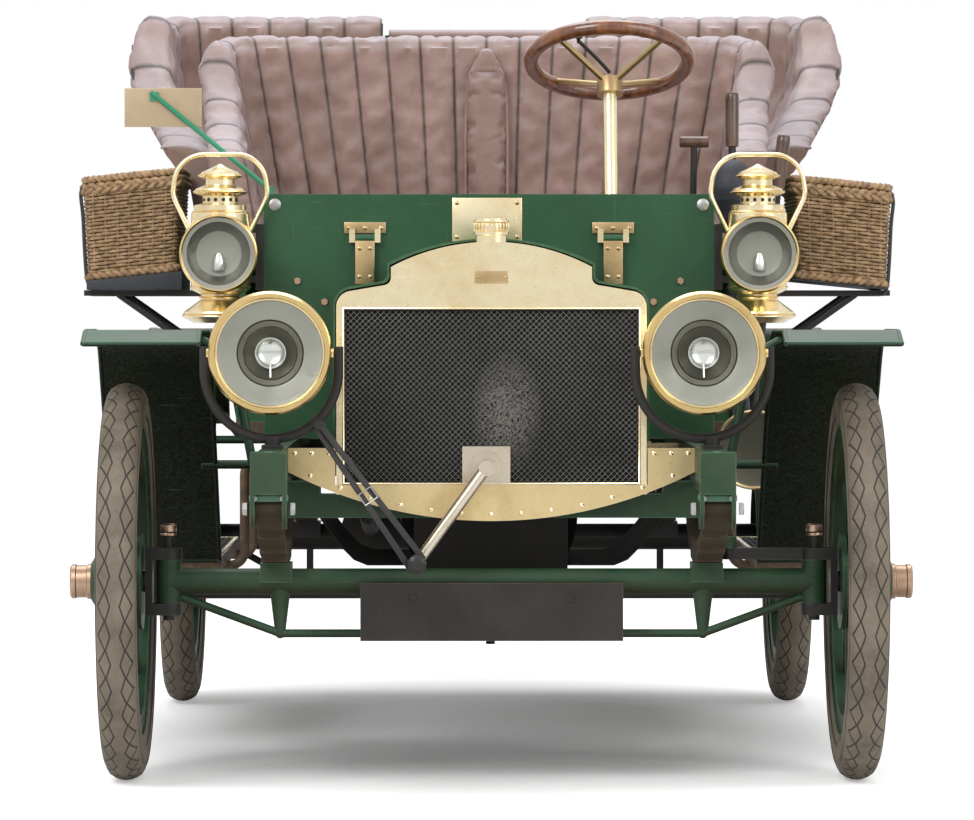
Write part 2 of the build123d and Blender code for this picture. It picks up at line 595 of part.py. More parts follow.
with BuildPart() as drop_arm:
    rod(point(SHAFT_INNER_X, DROP_ARM_STATION, DROP_SHAFT_HEIGHT),
        point(DROP_ARM_OUTER, DROP_ARM_STATION, DROP_SHAFT_HEIGHT), DROP_SHAFT_RADIUS)
    rod(point(DROP_ARM_INNER, DROP_ARM_STATION, DROP_SHAFT_HEIGHT),
        point(DROP_ARM_OUTER, DROP_ARM_STATION, DROP_SHAFT_HEIGHT), DROP_SHAFT_RADIUS + 12)
    block((DROP_ARM_INNER, DROP_ARM_OUTER), (DROP_ARM_STATION - 14, DROP_ARM_STATION + 14),
          (DROP_END_HEIGHT, DROP_SHAFT_HEIGHT))
    rod(point(DROP_ARM_INNER, DROP_ARM_STATION, DROP_END_HEIGHT),
        point(DROP_ARM_OUTER, DROP_ARM_STATION, DROP_END_HEIGHT), LINK_BOSS_RADIUS)
save(drop_arm, "drop_arm")

with BuildPart() as steering_column:
    block((COLUMN_X - 35, BOX_OUTER_X), (DROP_ARM_STATION - 55, DROP_ARM_STATION + 55),
          (DROP_SHAFT_HEIGHT - 45, DROP_SHAFT_HEIGHT + 35))
    block((BOX_OUTER_X, BEARER_END), (DROP_ARM_STATION + 22, DROP_ARM_STATION + 52),
          (DROP_SHAFT_HEIGHT - 30, DROP_SHAFT_HEIGHT + 30))
    rod(COLUMN_FOOT, COLUMN_TOP, COLUMN_RADIUS)
    rod(COLUMN_TOP - COLUMN_AXIS * 80, COLUMN_TOP, COLUMN_BORE + RUNNING_FIT, mode=Mode.SUBTRACT)
    rod(point(SHAFT_INNER_X - 1, DROP_ARM_STATION, DROP_SHAFT_HEIGHT),
        point(BOX_OUTER_X + 1, DROP_ARM_STATION, DROP_SHAFT_HEIGHT), DROP_SHAFT_RADIUS + RUNNING_FIT,
        mode=Mode.SUBTRACT)
save(steering_column, "steering_column")

# Steering wheel: wooden rim and a dished four-spoke spider
RIM_PLANE = Plane(origin=WHEEL_CENTRE, x_dir=(1, 0, 0), z_dir=COLUMN_AXIS)
SPIDER_SPOKE_RADIUS = 7
RIM_MINOR = STEERING_RIM_THICKNESS / 2
SPOKE_REACH = STEERING_WHEEL_RADIUS - RIM_MINOR - SEAT_GAP

with BuildPart() as steering_wheel:
    with Locations(RIM_PLANE):
        Torus(STEERING_WHEEL_RADIUS, RIM_MINOR)
save(steering_wheel, "steering_wheel")

with BuildPart() as steering_spider:
    hub_foot = WHEEL_CENTRE - COLUMN_AXIS * (STEERING_DISH + SPIDER_HUB_LENGTH)
    rod(hub_foot, hub_foot + COLUMN_AXIS * SPIDER_HUB_LENGTH, SPIDER_HUB_RADIUS)
    rod(hub_foot - COLUMN_AXIS * 70, hub_foot, COLUMN_BORE)
    for spoke in PolarLocations(SPOKE_REACH, 4, start_angle=45):
        tip = RIM_PLANE.from_local_coords(spoke.position)
        inward = (WHEEL_CENTRE - tip).normalized()
        rod(hub_foot + COLUMN_AXIS * (SPIDER_HUB_LENGTH - 12), tip + inward * SPIDER_SPOKE_RADIUS * 0.2,
            SPIDER_SPOKE_RADIUS)
save(steering_spider, "steering_spider")

# Wheels and tyres: wooden spokes between a hub and a felloe
# columns: name, side, station, has a brake drum
WHEELS = (
    ("front_left", 1, 0, False),
    ("front_right", -1, 0, False),
    ("rear_left", 1, REAR_STATION, True),
    ("rear_right", -1, REAR_STATION, True),
)
HUB_START = HUB_INNER_X - WHEEL_X
HUB_BORE = SPINDLE_RADIUS + RUNNING_FIT
HUB_BORE_END = SPINDLE_END - WHEEL_X + SEAT_GAP
CAP_START = HUB_BORE_END + 6
CAP_END = HUB_CAP_END - WHEEL_X
HUB_PROFILE = [
    (HUB_BORE, HUB_START),
    (HUB_FLANGE_RADIUS, HUB_START),
    (HUB_FLANGE_RADIUS, HUB_START + HUB_FLANGE_THICKNESS),
    (HUB_RADIUS, HUB_START + HUB_FLANGE_THICKNESS),
    (HUB_RADIUS, -HUB_START - HUB_FLANGE_THICKNESS),
    (HUB_FLANGE_RADIUS, -HUB_START - HUB_FLANGE_THICKNESS),
    (HUB_FLANGE_RADIUS, -HUB_START),
    (HUB_RADIUS, -HUB_START),
    (HUB_RADIUS, CAP_START - 14),
    (HUB_CAP_RADIUS + 6, CAP_START),
    (HUB_CAP_RADIUS, CAP_START),
    (HUB_CAP_RADIUS, CAP_END),
    (0, CAP_END),
    (0, HUB_BORE_END),
    (HUB_BORE, HUB_BORE_END),
]
FELLOE_HALF = FELLOE_WIDTH / 2
RIM_HALF = FELLOE_HALF + 4
RIM_OUTER = RIM_RADIUS - SEAT_GAP
FELLOE_PROFILE = [
    (FELLOE_RADIUS, -FELLOE_HALF),
    (RIM_OUTER - 6, -FELLOE_HALF),
    (RIM_OUTER - 6, -RIM_HALF),
    (RIM_OUTER, -RIM_HALF),
    (RIM_OUTER, RIM_HALF),
    (RIM_OUTER - 6, RIM_HALF),
    (RIM_OUTER - 6, FELLOE_HALF),
    (FELLOE_RADIUS, FELLOE_HALF),
]
SPOKE_PROFILE = [
    (0, HUB_RADIUS - 4),
    (SPOKE_FOOT_RADIUS, HUB_RADIUS - 4),
    (SPOKE_TIP_RADIUS, FELLOE_RADIUS + 4),
    (0, FELLOE_RADIUS + 4),
]
DRUM_PROFILE = [
    (HUB_RADIUS, HUB_START),
    (HUB_RADIUS, HUB_START + HUB_FLANGE_THICKNESS),
    (BRAKE_DRUM_RADIUS, HUB_START + HUB_FLANGE_THICKNESS),
    (BRAKE_DRUM_RADIUS, HUB_START - BRAKE_DRUM_WIDTH),
    (BRAKE_DRUM_RADIUS - BRAKE_DRUM_WALL, HUB_START - BRAKE_DRUM_WIDTH),
    (BRAKE_DRUM_RADIUS - BRAKE_DRUM_WALL, HUB_START),
]
TYRE_HALF = TYRE_WIDTH / 2
TYRE_SHOULDER = WHEEL_RADIUS - TYRE_SHOULDER_DROP
TYRE_EDGE = TYRE_HALF - TYRE_SHOULDER_DROP
TYRE_MIDDLE = (RIM_RADIUS + WHEEL_RADIUS) / 2


def wheel(side, behind, has_drum):
    """Hub, spokes, felloe and steel rim, with a brake drum on the rear ones."""
    centre = point(side * WHEEL_X, behind, AXLE_HEIGHT)
    outward = (side, 0, 0)
    turned(HUB_PROFILE, centre, outward)
    turned(FELLOE_PROFILE, centre, outward)
    for spoke in range(SPOKE_COUNT):
        angle = radians(360 / SPOKE_COUNT * (spoke + 0.5))
        turned(SPOKE_PROFILE, centre, (0, cos(angle), sin(angle)))
    if has_drum:
        turned(DRUM_PROFILE, centre, outward)


def tyre(side, behind):
    """Round-shouldered tyre on its rim."""
    centre = point(side * WHEEL_X, behind, AXLE_HEIGHT)
    bead = RIM_HALF - 2
    with BuildSketch(Plane(origin=centre, x_dir=(0, 0, 1), z_dir=(0, 1, 0))) as section:
        with BuildLine():
            ThreePointArc((RIM_RADIUS, -bead), (TYRE_MIDDLE, -TYRE_HALF), (TYRE_SHOULDER, -TYRE_EDGE))
            ThreePointArc((TYRE_SHOULDER, -TYRE_EDGE), (WHEEL_RADIUS, 0), (TYRE_SHOULDER, TYRE_EDGE))
            ThreePointArc((TYRE_SHOULDER, TYRE_EDGE), (TYRE_MIDDLE, TYRE_HALF), (RIM_RADIUS, bead))
            Line((RIM_RADIUS, bead), (RIM_RADIUS, -bead))
        make_face()
    revolve(section.sketch, axis=Axis(centre, (1, 0, 0)))


for name, side, behind, has_drum in WHEELS:
    with BuildPart() as wheel_piece:
        wheel(side, behind, has_drum)
    save(wheel_piece, f"wheel_{name}")
    with BuildPart() as tyre_piece:
        tyre(side, behind)
    save(tyre_piece, f"tyre_{name}")


# Radiator, apron and bonnet share one outline with a stepped crown
def front_plane(behind):
    """Upright plane across the car, facing forward."""
    return Plane.XZ.offset(-station(behind))


def hood_solid(grow, bottom, stations, mode=Mode.ADD):
    """Solid along the car with the radiator's outline grown evenly."""
    side = RADIATOR_HALF_WIDTH + grow
    shoulder = RADIATOR_SHOULDER + grow
    crown = RADIATOR_CROWN_HALF + grow
    crown_side = RADIATOR_CROWN_SIDE + grow
    radii = (RADIATOR_CORNER + grow, RADIATOR_CORNER / 2)
    with BuildSketch(front_plane(stations[1])) as outline:
        with BuildLine():
            FilletPolyline((-side, bottom), (-side, shoulder - 18), (-crown, shoulder),
                           (-crown, crown_side), radius=radii)
            ThreePointArc((-crown, crown_side), (0, RADIATOR_TOP + grow), (crown, crown_side))
            FilletPolyline((side, bottom), (side, shoulder - 18), (crown, shoulder),
                           (crown, crown_side), radius=radii)
            Line((side, bottom), (-side, bottom))
        make_face()
    extrude(outline.sketch, amount=stations[1] - stations[0], mode=mode)


with BuildPart() as radiator_shell:
    hood_solid(0, RADIATOR_BOTTOM, (0, RADIATOR_DEPTH))
    block((-CORE_HALF_WIDTH, CORE_HALF_WIDTH), (-1, RADIATOR_DEPTH + 1), (CORE_BOTTOM, CORE_TOP),
          mode=Mode.SUBTRACT)
    rod(point(0, FILLER_STATION, RADIATOR_TOP - 12),
        point(0, FILLER_STATION, RADIATOR_TOP + FILLER_HEIGHT), FILLER_RADIUS)
save(radiator_shell, "radiator_shell")

with BuildPart() as radiator_core:
    block((SEAT_GAP - CORE_HALF_WIDTH, CORE_HALF_WIDTH - SEAT_GAP),
          (CORE_RECESS, RADIATOR_DEPTH - CORE_RECESS),
          (CORE_BOTTOM + SEAT_GAP, CORE_TOP - SEAT_GAP))
save(radiator_core, "radiator_core")

APRON_HALF = RAIL_INNER - SEAT_GAP
APRON_NOTCH = RADIATOR_HALF_WIDTH + 2

with BuildPart() as radiator_apron:
    with BuildSketch(front_plane(0)) as apron_face:
        with BuildLine():
            Polyline((-APRON_HALF, APRON_END_BOTTOM), (-APRON_HALF, APRON_TOP), (-APRON_NOTCH, APRON_TOP),
                     (-APRON_NOTCH, CORE_BOTTOM - 2), (APRON_NOTCH, CORE_BOTTOM - 2),
                     (APRON_NOTCH, APRON_TOP),
                     (APRON_HALF, APRON_TOP), (APRON_HALF, APRON_END_BOTTOM))
            ThreePointArc((APRON_HALF, APRON_END_BOTTOM), (0, APRON_BOTTOM),
                          (-APRON_HALF, APRON_END_BOTTOM))
        make_face()
    extrude(amount=APRON_THICKNESS)
save(radiator_apron, "radiator_apron")

# Starting handle with its bearing plate, tied up by a strap
CRANK_X = -10
CRANK_HEIGHT = 602
CRANK_ARM_STATION = -108
CRANK_END = (-142, 422)
GRIP_RADIUS = 15
GRIP_LENGTH = 118
PLATE_HALF = 46

with BuildPart() as starting_handle:
    block((CRANK_X - PLATE_HALF, CRANK_X + PLATE_HALF), (-4, CORE_RECESS - SEAT_GAP),
          (CORE_BOTTOM + SEAT_GAP, 640))
    rod(point(CRANK_X, 0, CRANK_HEIGHT), point(CRANK_X, -40, CRANK_HEIGHT), 26)
    rod(point(CRANK_X, 0, CRANK_HEIGHT), point(CRANK_X, CRANK_ARM_STATION - 12, CRANK_HEIGHT), 15)
    rod(point(CRANK_X, CRANK_ARM_STATION, CRANK_HEIGHT),
        point(CRANK_END[0], CRANK_ARM_STATION, CRANK_END[1]), 11)
    rod(point(CRANK_END[0], CRANK_ARM_STATION + 14, CRANK_END[1]),
        point(CRANK_END[0], CRANK_ARM_STATION - GRIP_LENGTH, CRANK_END[1]), GRIP_RADIUS)
save(starting_handle, "starting_handle")

STRAP_WIDTH = 24
STRAP_THICKNESS = 4
STRAP_ANGLE = radians(42)
STRAP_SEAT = 1.4
STRAP_TOP = (point(HEADLAMP_XS[0], HEADLAMP_STATION, FORK_BOTTOM + FORK_SPREAD)
             + Vector(sin(STRAP_ANGLE), 0, -cos(STRAP_ANGLE)) * (FORK_SPREAD + FORK_RADIUS + STRAP_SEAT))
GRIP_MIDDLE = point(CRANK_END[0], CRANK_ARM_STATION - GRIP_LENGTH / 2, CRANK_END[1])
STRAP_FOOT = GRIP_MIDDLE + (STRAP_TOP - GRIP_MIDDLE).normalized() * (GRIP_RADIUS + STRAP_SEAT)

with BuildPart() as crank_strap:
    with Locations(Plane(origin=STRAP_TOP, x_dir=(0, 1, 0), z_dir=STRAP_FOOT - STRAP_TOP)):
        Box(STRAP_WIDTH, STRAP_THICKNESS, (STRAP_FOOT - STRAP_TOP).length,
            align=(Align.CENTER, Align.CENTER, Align.MIN))
save(crank_strap, "crank_strap")

# Dash with a hole for the column, bonnet hinges on its face, and the bonnet
HINGE_STATION = DASH_STATION - HINGE_KNUCKLE_RADIUS - 1
BONNET_REAR = DASH_STATION - PART_GAP - 3
BONNET_GROW = BONNET_GAP + BONNET_SHEET
KNUCKLE_HALF = HINGE_STRAP_WIDTH / 2
EAR_INNER = KNUCKLE_HALF + SEAT_GAP
EAR_OUTER = KNUCKLE_HALF + 12

with BuildPart() as dash:
    block((-DASH_HALF_WIDTH, DASH_HALF_WIDTH), (DASH_STATION, DASH_STATION + DASH_THICKNESS),
          (RAIL_TOP, DASH_TOP))
    rod(COLUMN_FOOT, COLUMN_TOP, COLUMN_RADIUS + PART_GAP, mode=Mode.SUBTRACT)
save(dash, "dash")

with BuildPart() as bonnet_hinges:
    for side in SIDES:
        centre_x = side * HINGE_X
        block((centre_x - HINGE_LEAF_WIDTH / 2, centre_x + HINGE_LEAF_WIDTH / 2),
              (DASH_STATION - 4, DASH_STATION),
              (HINGE_HEIGHT + HINGE_KNUCKLE_RADIUS + 2, HINGE_HEIGHT + 34))
        for ear in SIDES:
            block((centre_x + ear * EAR_INNER, centre_x + ear * EAR_OUTER),
                  (HINGE_STATION - 8, DASH_STATION),
                  (HINGE_HEIGHT - 8, HINGE_HEIGHT + 20))
        rod(point(centre_x - EAR_OUTER, HINGE_STATION, HINGE_HEIGHT),
            point(centre_x + EAR_OUTER, HINGE_STATION, HINGE_HEIGHT), HINGE_PIN_RADIUS)
save(bonnet_hinges, "bonnet_hinges")

with BuildPart() as bonnet:
    hood_solid(BONNET_GROW, BONNET_BOTTOM, (BONNET_FRONT, BONNET_REAR))
    hood_solid(BONNET_GAP, BONNET_BOTTOM - 1, (BONNET_FRONT - 1, BONNET_REAR + 1), mode=Mode.SUBTRACT)
    for side in SIDES:
        centre_x = side * HINGE_X
        block((centre_x - KNUCKLE_HALF, centre_x + KNUCKLE_HALF), (HINGE_STATION - 4, HINGE_STATION + 1),
              (RADIATOR_SHOULDER - 2, HINGE_HEIGHT))
        rod(point(centre_x - KNUCKLE_HALF, HINGE_STATION, HINGE_HEIGHT),
            point(centre_x + KNUCKLE_HALF, HINGE_STATION, HINGE_HEIGHT), HINGE_KNUCKLE_RADIUS)
    for side in SIDES:
        rod(point(side * HINGE_X - HINGE_LEAF_WIDTH, HINGE_STATION, HINGE_HEIGHT),
            point(side * HINGE_X + HINGE_LEAF_WIDTH, HINGE_STATION, HINGE_HEIGHT),
            HINGE_PIN_RADIUS + RUNNING_FIT,
            mode=Mode.SUBTRACT)
save(bonnet, "bonnet")

# Floor and toe board
FLOOR_TOP = RAIL_TOP + FLOOR_THICKNESS
FLOOR_FRONT = DASH_STATION + DASH_THICKNESS
TOE_BOARD_TOP = FLOOR_TOP + 70
TOE_BOARD_LENGTH = 120
TOE_BOARD_HALF = FLOOR_HALF_WIDTH - 20
TOE_BOARD_FOOT = FLOOR_TOP - 5

with BuildPart() as floor:
    block((-FLOOR_HALF_WIDTH, FLOOR_HALF_WIDTH), (FLOOR_FRONT, BODY_BACK), (RAIL_TOP, FLOOR_TOP))
    block((-SEAT_BASE_HALF_WIDTH, SEAT_BASE_HALF_WIDTH), (SEAT_FRONT, BODY_BACK), (RAIL_TOP, FLOOR_TOP))
    toe_board = [(FLOOR_FRONT, TOE_BOARD_FOOT), (FLOOR_FRONT, TOE_BOARD_TOP),
                 (FLOOR_FRONT + TOE_BOARD_LENGTH, TOE_BOARD_FOOT)]
    side_plate(toe_board, (-TOE_BOARD_HALF, TOE_BOARD_HALF))
save(floor, "floor")


def tub_solid(levels, front, inset, corner, mode=Mode.ADD):
    """Flaring body of rounded plan; levels are (height, half width, back station)."""
    sections = []
    for height, half_width, back in levels:
        x = half_width - inset
        near = station(front)
        far = station(back - inset)
        with BuildSketch(Plane.XY.offset(height)) as section:
            with BuildLine():
                FilletPolyline((-x, near), (-x, far), (x, far), (x, near), radius=corner - inset)
                Line((x, near), (-x, near))
            make_face()
        sections.append(section.sketch)
    loft(sections, ruled=True, mode=mode)


def keep_front_outline(levels, stations, radius):
    """Round the upper corners of a tub as they show from the front."""
    right = [(half, height) for height, half, _ in levels]
    corners = [(-half, height) for half, height in right] + right[::-1]
    with BuildSketch(front_plane(stations[1])) as outline:
        with BuildLine():
            Polyline(*corners, close=True)
        make_face()
        fillet(outline.vertices().group_by(Axis.Y)[-1], radius)
    extrude(outline.sketch, amount=stations[1] - stations[0], mode=Mode.INTERSECT)


def sweep_off_top(front, rise, top):
    """Cut a tub's sides to an edge that sweeps up from the front; front and rise are (station, height)."""
    start = (station(front[0]), front[1])
    end = (station(rise[0]), rise[1])
    middle = (start[0] * 0.38 + end[0] * 0.62, start[1] * 0.62 + end[1] * 0.38)
    with BuildSketch(Plane.YZ.offset(-BASKET_OUTER_X)) as cut:
        with BuildLine():
            ThreePointArc(start, middle, end)
            Polyline(end, (end[0], top), (start[0] - 80, top), (start[0] - 80, start[1]), start)
        make_face()
    extrude(cut.sketch, amount=2 * BASKET_OUTER_X, mode=Mode.SUBTRACT)


# Front seat: a base box and a flaring tub, with padding inside and a cushion
SEAT_LEVELS = (
    (SEAT_BASE_TOP, SEAT_BASE_HALF_WIDTH, SEAT_BACK),
    (SEAT_TOP, SEAT_TOP_HALF_WIDTH, SEAT_BACK + 16),
)
SEAT_CORNER = 150
SEAT_ROUND = 100
SEAT_RISE = (SEAT_FRONT + 310, SEAT_TOP + 1)
TRIM_INSET = TUB_WALL + SEAT_GAP
TRIM_INNER = TRIM_INSET + SEAT_PADDING

with BuildPart() as front_seat_tub:
    tub_solid(SEAT_LEVELS, SEAT_FRONT, 0, SEAT_CORNER)
    tub_solid(SEAT_LEVELS, SEAT_FRONT - 10, TUB_WALL, SEAT_CORNER, mode=Mode.SUBTRACT)
    keep_front_outline(SEAT_LEVELS, (SEAT_FRONT - 20, SEAT_BACK + 40), SEAT_ROUND)
    sweep_off_top((SEAT_FRONT - 5, SEAT_ARM_HEIGHT), SEAT_RISE, SEAT_TOP + 60)
    block((-SEAT_BASE_HALF_WIDTH, SEAT_BASE_HALF_WIDTH), (SEAT_FRONT, SEAT_BACK),
          (FLOOR_TOP, SEAT_BASE_TOP))
save(front_seat_tub, "front_seat_tub")

TRIM_LEVELS = ((SEAT_BASE_TOP + SEAT_GAP, SEAT_BASE_HALF_WIDTH, SEAT_BACK), SEAT_LEVELS[1])

with BuildPart() as front_seat_trim:
    tub_solid(TRIM_LEVELS, SEAT_FRONT, TRIM_INSET, SEAT_CORNER)
    tub_solid(TRIM_LEVELS, SEAT_FRONT - 10, TRIM_INNER, SEAT_CORNER, mode=Mode.SUBTRACT)
    keep_front_outline(SEAT_LEVELS, (SEAT_FRONT - 20, SEAT_BACK + 40), SEAT_ROUND)
    sweep_off_top((SEAT_FRONT - 5, SEAT_ARM_HEIGHT), SEAT_RISE, SEAT_TOP + 60)
save(front_seat_trim, "front_seat_trim")

# Tonneau: flaring sides with rounded ears, open for the rear door, with two corner seats
# columns: height, half width, back station
TONNEAU_LEVELS = (
    (FLOOR_TOP, 560, BODY_BACK),
    (1180, 655, BODY_BACK),
    (1400, 796, BODY_BACK),
    (TONNEAU_TOP, 815, BODY_BACK),
)
TONNEAU_CORNER = 190
TONNEAU_ROUND = 95
TONNEAU_RISE = (TONNEAU_FRONT + 400, TONNEAU_TOP + 1)
TONNEAU_INSET = TONNEAU_WALL + SEAT_GAP
DOOR_OPENING = DOOR_HALF_WIDTH + PART_GAP
DOOR_PIN_X = -(DOOR_HALF_WIDTH + PART_GAP / 2)
DOOR_PIN_STATION = BODY_BACK + 10
DOOR_HINGE_HEIGHTS = (850, 1150, 1400)
HINGE_HALF = 28
REAR_BENCH_TOP = 890
BENCH_INNER = 262
BENCH_OUTER = 500


def open_doorway(inset):
    """Cut the doorway through the back of the tonneau or its padding."""
    block((-DOOR_OPENING, DOOR_OPENING), (BODY_BACK - inset, BODY_BACK + 20),
          (DOOR_SILL - PART_GAP, TONNEAU_TOP + 50),
          mode=Mode.SUBTRACT)


with BuildPart() as tonneau_body:
    tub_solid(TONNEAU_LEVELS, TONNEAU_FRONT, 0, TONNEAU_CORNER)
    tub_solid(TONNEAU_LEVELS, TONNEAU_FRONT - 10, TONNEAU_WALL, TONNEAU_CORNER, mode=Mode.SUBTRACT)
    keep_front_outline(TONNEAU_LEVELS, (TONNEAU_FRONT - 20, BODY_BACK + 20), TONNEAU_ROUND)
    sweep_off_top((TONNEAU_FRONT - 5, TONNEAU_FRONT_HEIGHT), TONNEAU_RISE, TONNEAU_TOP + 60)
    open_doorway(TONNEAU_WALL + 5)
    for side in SIDES:
        block((side * BENCH_INNER, side * BENCH_OUTER),
              (TONNEAU_FRONT + 110, BODY_BACK - TONNEAU_WALL - 60),
              (FLOOR_TOP, REAR_BENCH_TOP))
        block((side * (BENCH_OUTER - 10), side * 540),
              (TONNEAU_FRONT + 110, BODY_BACK - TONNEAU_WALL - 120),
              (FLOOR_TOP, FLOOR_TOP + 60))
    for height in DOOR_HINGE_HEIGHTS:
        block((DOOR_PIN_X - 40, DOOR_PIN_X - 6), (BODY_BACK - 2, DOOR_PIN_STATION + 4),
              (height - HINGE_HALF, height - 1))
        rod(point(DOOR_PIN_X, DOOR_PIN_STATION, height - HINGE_HALF),
            point(DOOR_PIN_X, DOOR_PIN_STATION, height - 1),
            DOOR_KNUCKLE_RADIUS)
        rod(point(DOOR_PIN_X, DOOR_PIN_STATION, height - HINGE_HALF),
            point(DOOR_PIN_X, DOOR_PIN_STATION, height + HINGE_HALF), DOOR_PIN_RADIUS)
save(tonneau_body, "tonneau_body")

with BuildPart() as tonneau_trim:
    trim_levels = ((REAR_BENCH_TOP + 2, 597, BODY_BACK),) + TONNEAU_LEVELS[1:]
    tub_solid(trim_levels, TONNEAU_FRONT, TONNEAU_INSET, TONNEAU_CORNER)
    tub_solid(trim_levels, TONNEAU_FRONT - 10, TONNEAU_INSET + TONNEAU_PADDING, TONNEAU_CORNER,
              mode=Mode.SUBTRACT)
    keep_front_outline(TONNEAU_LEVELS, (TONNEAU_FRONT - 20, BODY_BACK + 20), TONNEAU_ROUND)
    sweep_off_top((TONNEAU_FRONT - 5, TONNEAU_FRONT_HEIGHT), TONNEAU_RISE, TONNEAU_TOP + 60)
    open_doorway(TONNEAU_INSET + TONNEAU_PADDING + 5)
save(tonneau_trim, "tonneau_trim")

with BuildPart() as rear_door:
    block((-DOOR_HALF_WIDTH, DOOR_HALF_WIDTH), (BODY_BACK - TONNEAU_WALL, BODY_BACK), (DOOR_SILL, DOOR_TOP))
    for height in DOOR_HINGE_HEIGHTS:
        block((DOOR_PIN_X + 6, DOOR_PIN_X + 40), (BODY_BACK - 2, DOOR_PIN_STATION + 4),
              (height + 1, height + HINGE_HALF))
        rod(point(DOOR_PIN_X, DOOR_PIN_STATION, height + 1),
            point(DOOR_PIN_X, DOOR_PIN_STATION, height + HINGE_HALF),
            DOOR_KNUCKLE_RADIUS)
    for height in DOOR_HINGE_HEIGHTS:
        rod(point(DOOR_PIN_X, DOOR_PIN_STATION, height),
            point(DOOR_PIN_X, DOOR_PIN_STATION, height + HINGE_HALF + 1),
            DOOR_PIN_RADIUS + RUNNING_FIT, mode=Mode.SUBTRACT)
save(rear_door, "rear_door")

with BuildPart() as seat_cushions:
    cushion_levels = [(SEAT_BASE_TOP + rise, SEAT_BASE_HALF_WIDTH, SEAT_BACK) for rise in (SEAT_GAP,
                                                                                           CUSHION_THICKNESS)]
    tub_solid(cushion_levels, SEAT_FRONT, TRIM_INNER + 2, SEAT_CORNER)
    for side in SIDES:
        block((side * BENCH_INNER, side * (BENCH_OUTER - 10)),
              (TONNEAU_FRONT + 110, BODY_BACK - TONNEAU_WALL - 120),
              (REAR_BENCH_TOP + SEAT_GAP, REAR_BENCH_TOP + CUSHION_THICKNESS))
save(seat_cushions, "seat_cushions")


# Fenders: bent sheets on round stays from the frame
def bent_sheet(route, xs, radii):
    """Sheet of one width along a bent side route of (station, height) points."""
    middle = sum(xs) / 2
    places = [point(middle, behind, z) for behind, z in route]
    with BuildLine() as path:
        FilletPolyline(*places, radius=radii)
    with BuildSketch(Plane(origin=places[0], x_dir=(1, 0, 0), z_dir=places[1] - places[0])) as section:
        Rectangle(abs(xs[1] - xs[0]), FENDER_SHEET)
    sweep(section.sketch, path=path.wire())


SHEET_TOP = FENDER_TOP - FENDER_SHEET / 2
STAY_ROOT = RAIL_OUTER + SEAT_GAP
FRONT_FENDER_ROUTE = ((-222, 838), (-150, SHEET_TOP), (230, SHEET_TOP), (530, 560),
                      (BOARD_FRONT - 4, BOARD_TOP - 4))
FRONT_FENDER_BENDS = (60, 220, 200)
REAR_FENDER_ROUTE = ((BOARD_REAR + 4, BOARD_TOP + 8), (1700, 520), (1860, SHEET_TOP), (2330, SHEET_TOP),
                     (2500, 640))
REAR_FENDER_BENDS = (60, 220, 180)
STAY_OVERLAP = 30
# columns: station, height
LOW_STAY = (500, 592)
MIDDLE_STAY = (1745, 614)
FRONT_STAY_STATION = 60
FRONT_STAY_BEND = 15
REAR_STAY_STATION = 2470
REAR_STAY_BEND = 40
# columns: X, height
FRONT_STAY_ROUTE = ((STAY_ROOT, 600), (STAY_ROOT + 24, 600), (500, 812),
                    (FENDER_INNER_X + STAY_OVERLAP, SHEET_TOP - 6))
REAR_STAY_ROUTE = ((STAY_ROOT, 600), (REAR_FENDER_INNER_X - STAY_OVERLAP, 600),
                   (REAR_FENDER_INNER_X + STAY_OVERLAP, 679))

with BuildPart() as front_fenders:
    for side in SIDES:
        bent_sheet(FRONT_FENDER_ROUTE, (side * FENDER_INNER_X, side * FENDER_OUTER_X), FRONT_FENDER_BENDS)
        bent_rod([point(side * x, FRONT_STAY_STATION, z) for x, z in FRONT_STAY_ROUTE], STAY_RADIUS,
                 FRONT_STAY_BEND)
        rod(point(side * STAY_ROOT, LOW_STAY[0], LOW_STAY[1]),
            point(side * (FENDER_INNER_X + STAY_OVERLAP), LOW_STAY[0], LOW_STAY[1]), STAY_RADIUS)
save(front_fenders, "front_fenders")

with BuildPart() as rear_fenders:
    for side in SIDES:
        bent_sheet(REAR_FENDER_ROUTE, (side * REAR_FENDER_INNER_X, side * FENDER_OUTER_X),
                   REAR_FENDER_BENDS)
        rod(point(side * STAY_ROOT, MIDDLE_STAY[0], MIDDLE_STAY[1]),
            point(side * (REAR_FENDER_INNER_X + STAY_OVERLAP), MIDDLE_STAY[0], MIDDLE_STAY[1]), STAY_RADIUS)
        bent_rod([point(side * x, REAR_STAY_STATION, z) for x, z in REAR_STAY_ROUTE], STAY_RADIUS,
                 REAR_STAY_BEND)
save(rear_fenders, "rear_fenders")

BOARD_BRACKETS = (1020, 1520)
BRACKET_RADIUS = STAY_RADIUS + 1
BRACKET_ROOT = 585
BRACKET_DROP_X = FENDER_INNER_X - 35
BRACKET_END_X = FENDER_OUTER_X - 60
BRACKET_LOW = BOARD_TOP - BOARD_THICKNESS - BRACKET_RADIUS / 2

with BuildPart() as running_boards:
    for side in SIDES:
        block((side * FENDER_INNER_X, side * (FENDER_OUTER_X - 5)), (BOARD_FRONT, BOARD_REAR),
              (BOARD_TOP - BOARD_THICKNESS, BOARD_TOP))
        for behind in BOARD_BRACKETS:
            bent_rod([point(side * STAY_ROOT, behind, BRACKET_ROOT),
                      point(side * BRACKET_DROP_X, behind, BRACKET_ROOT),
                      point(side * BRACKET_DROP_X, behind, BRACKET_LOW),
                      point(side * BRACKET_END_X, behind, BRACKET_LOW)],
                     BRACKET_RADIUS, 30)
save(running_boards, "running_boards")

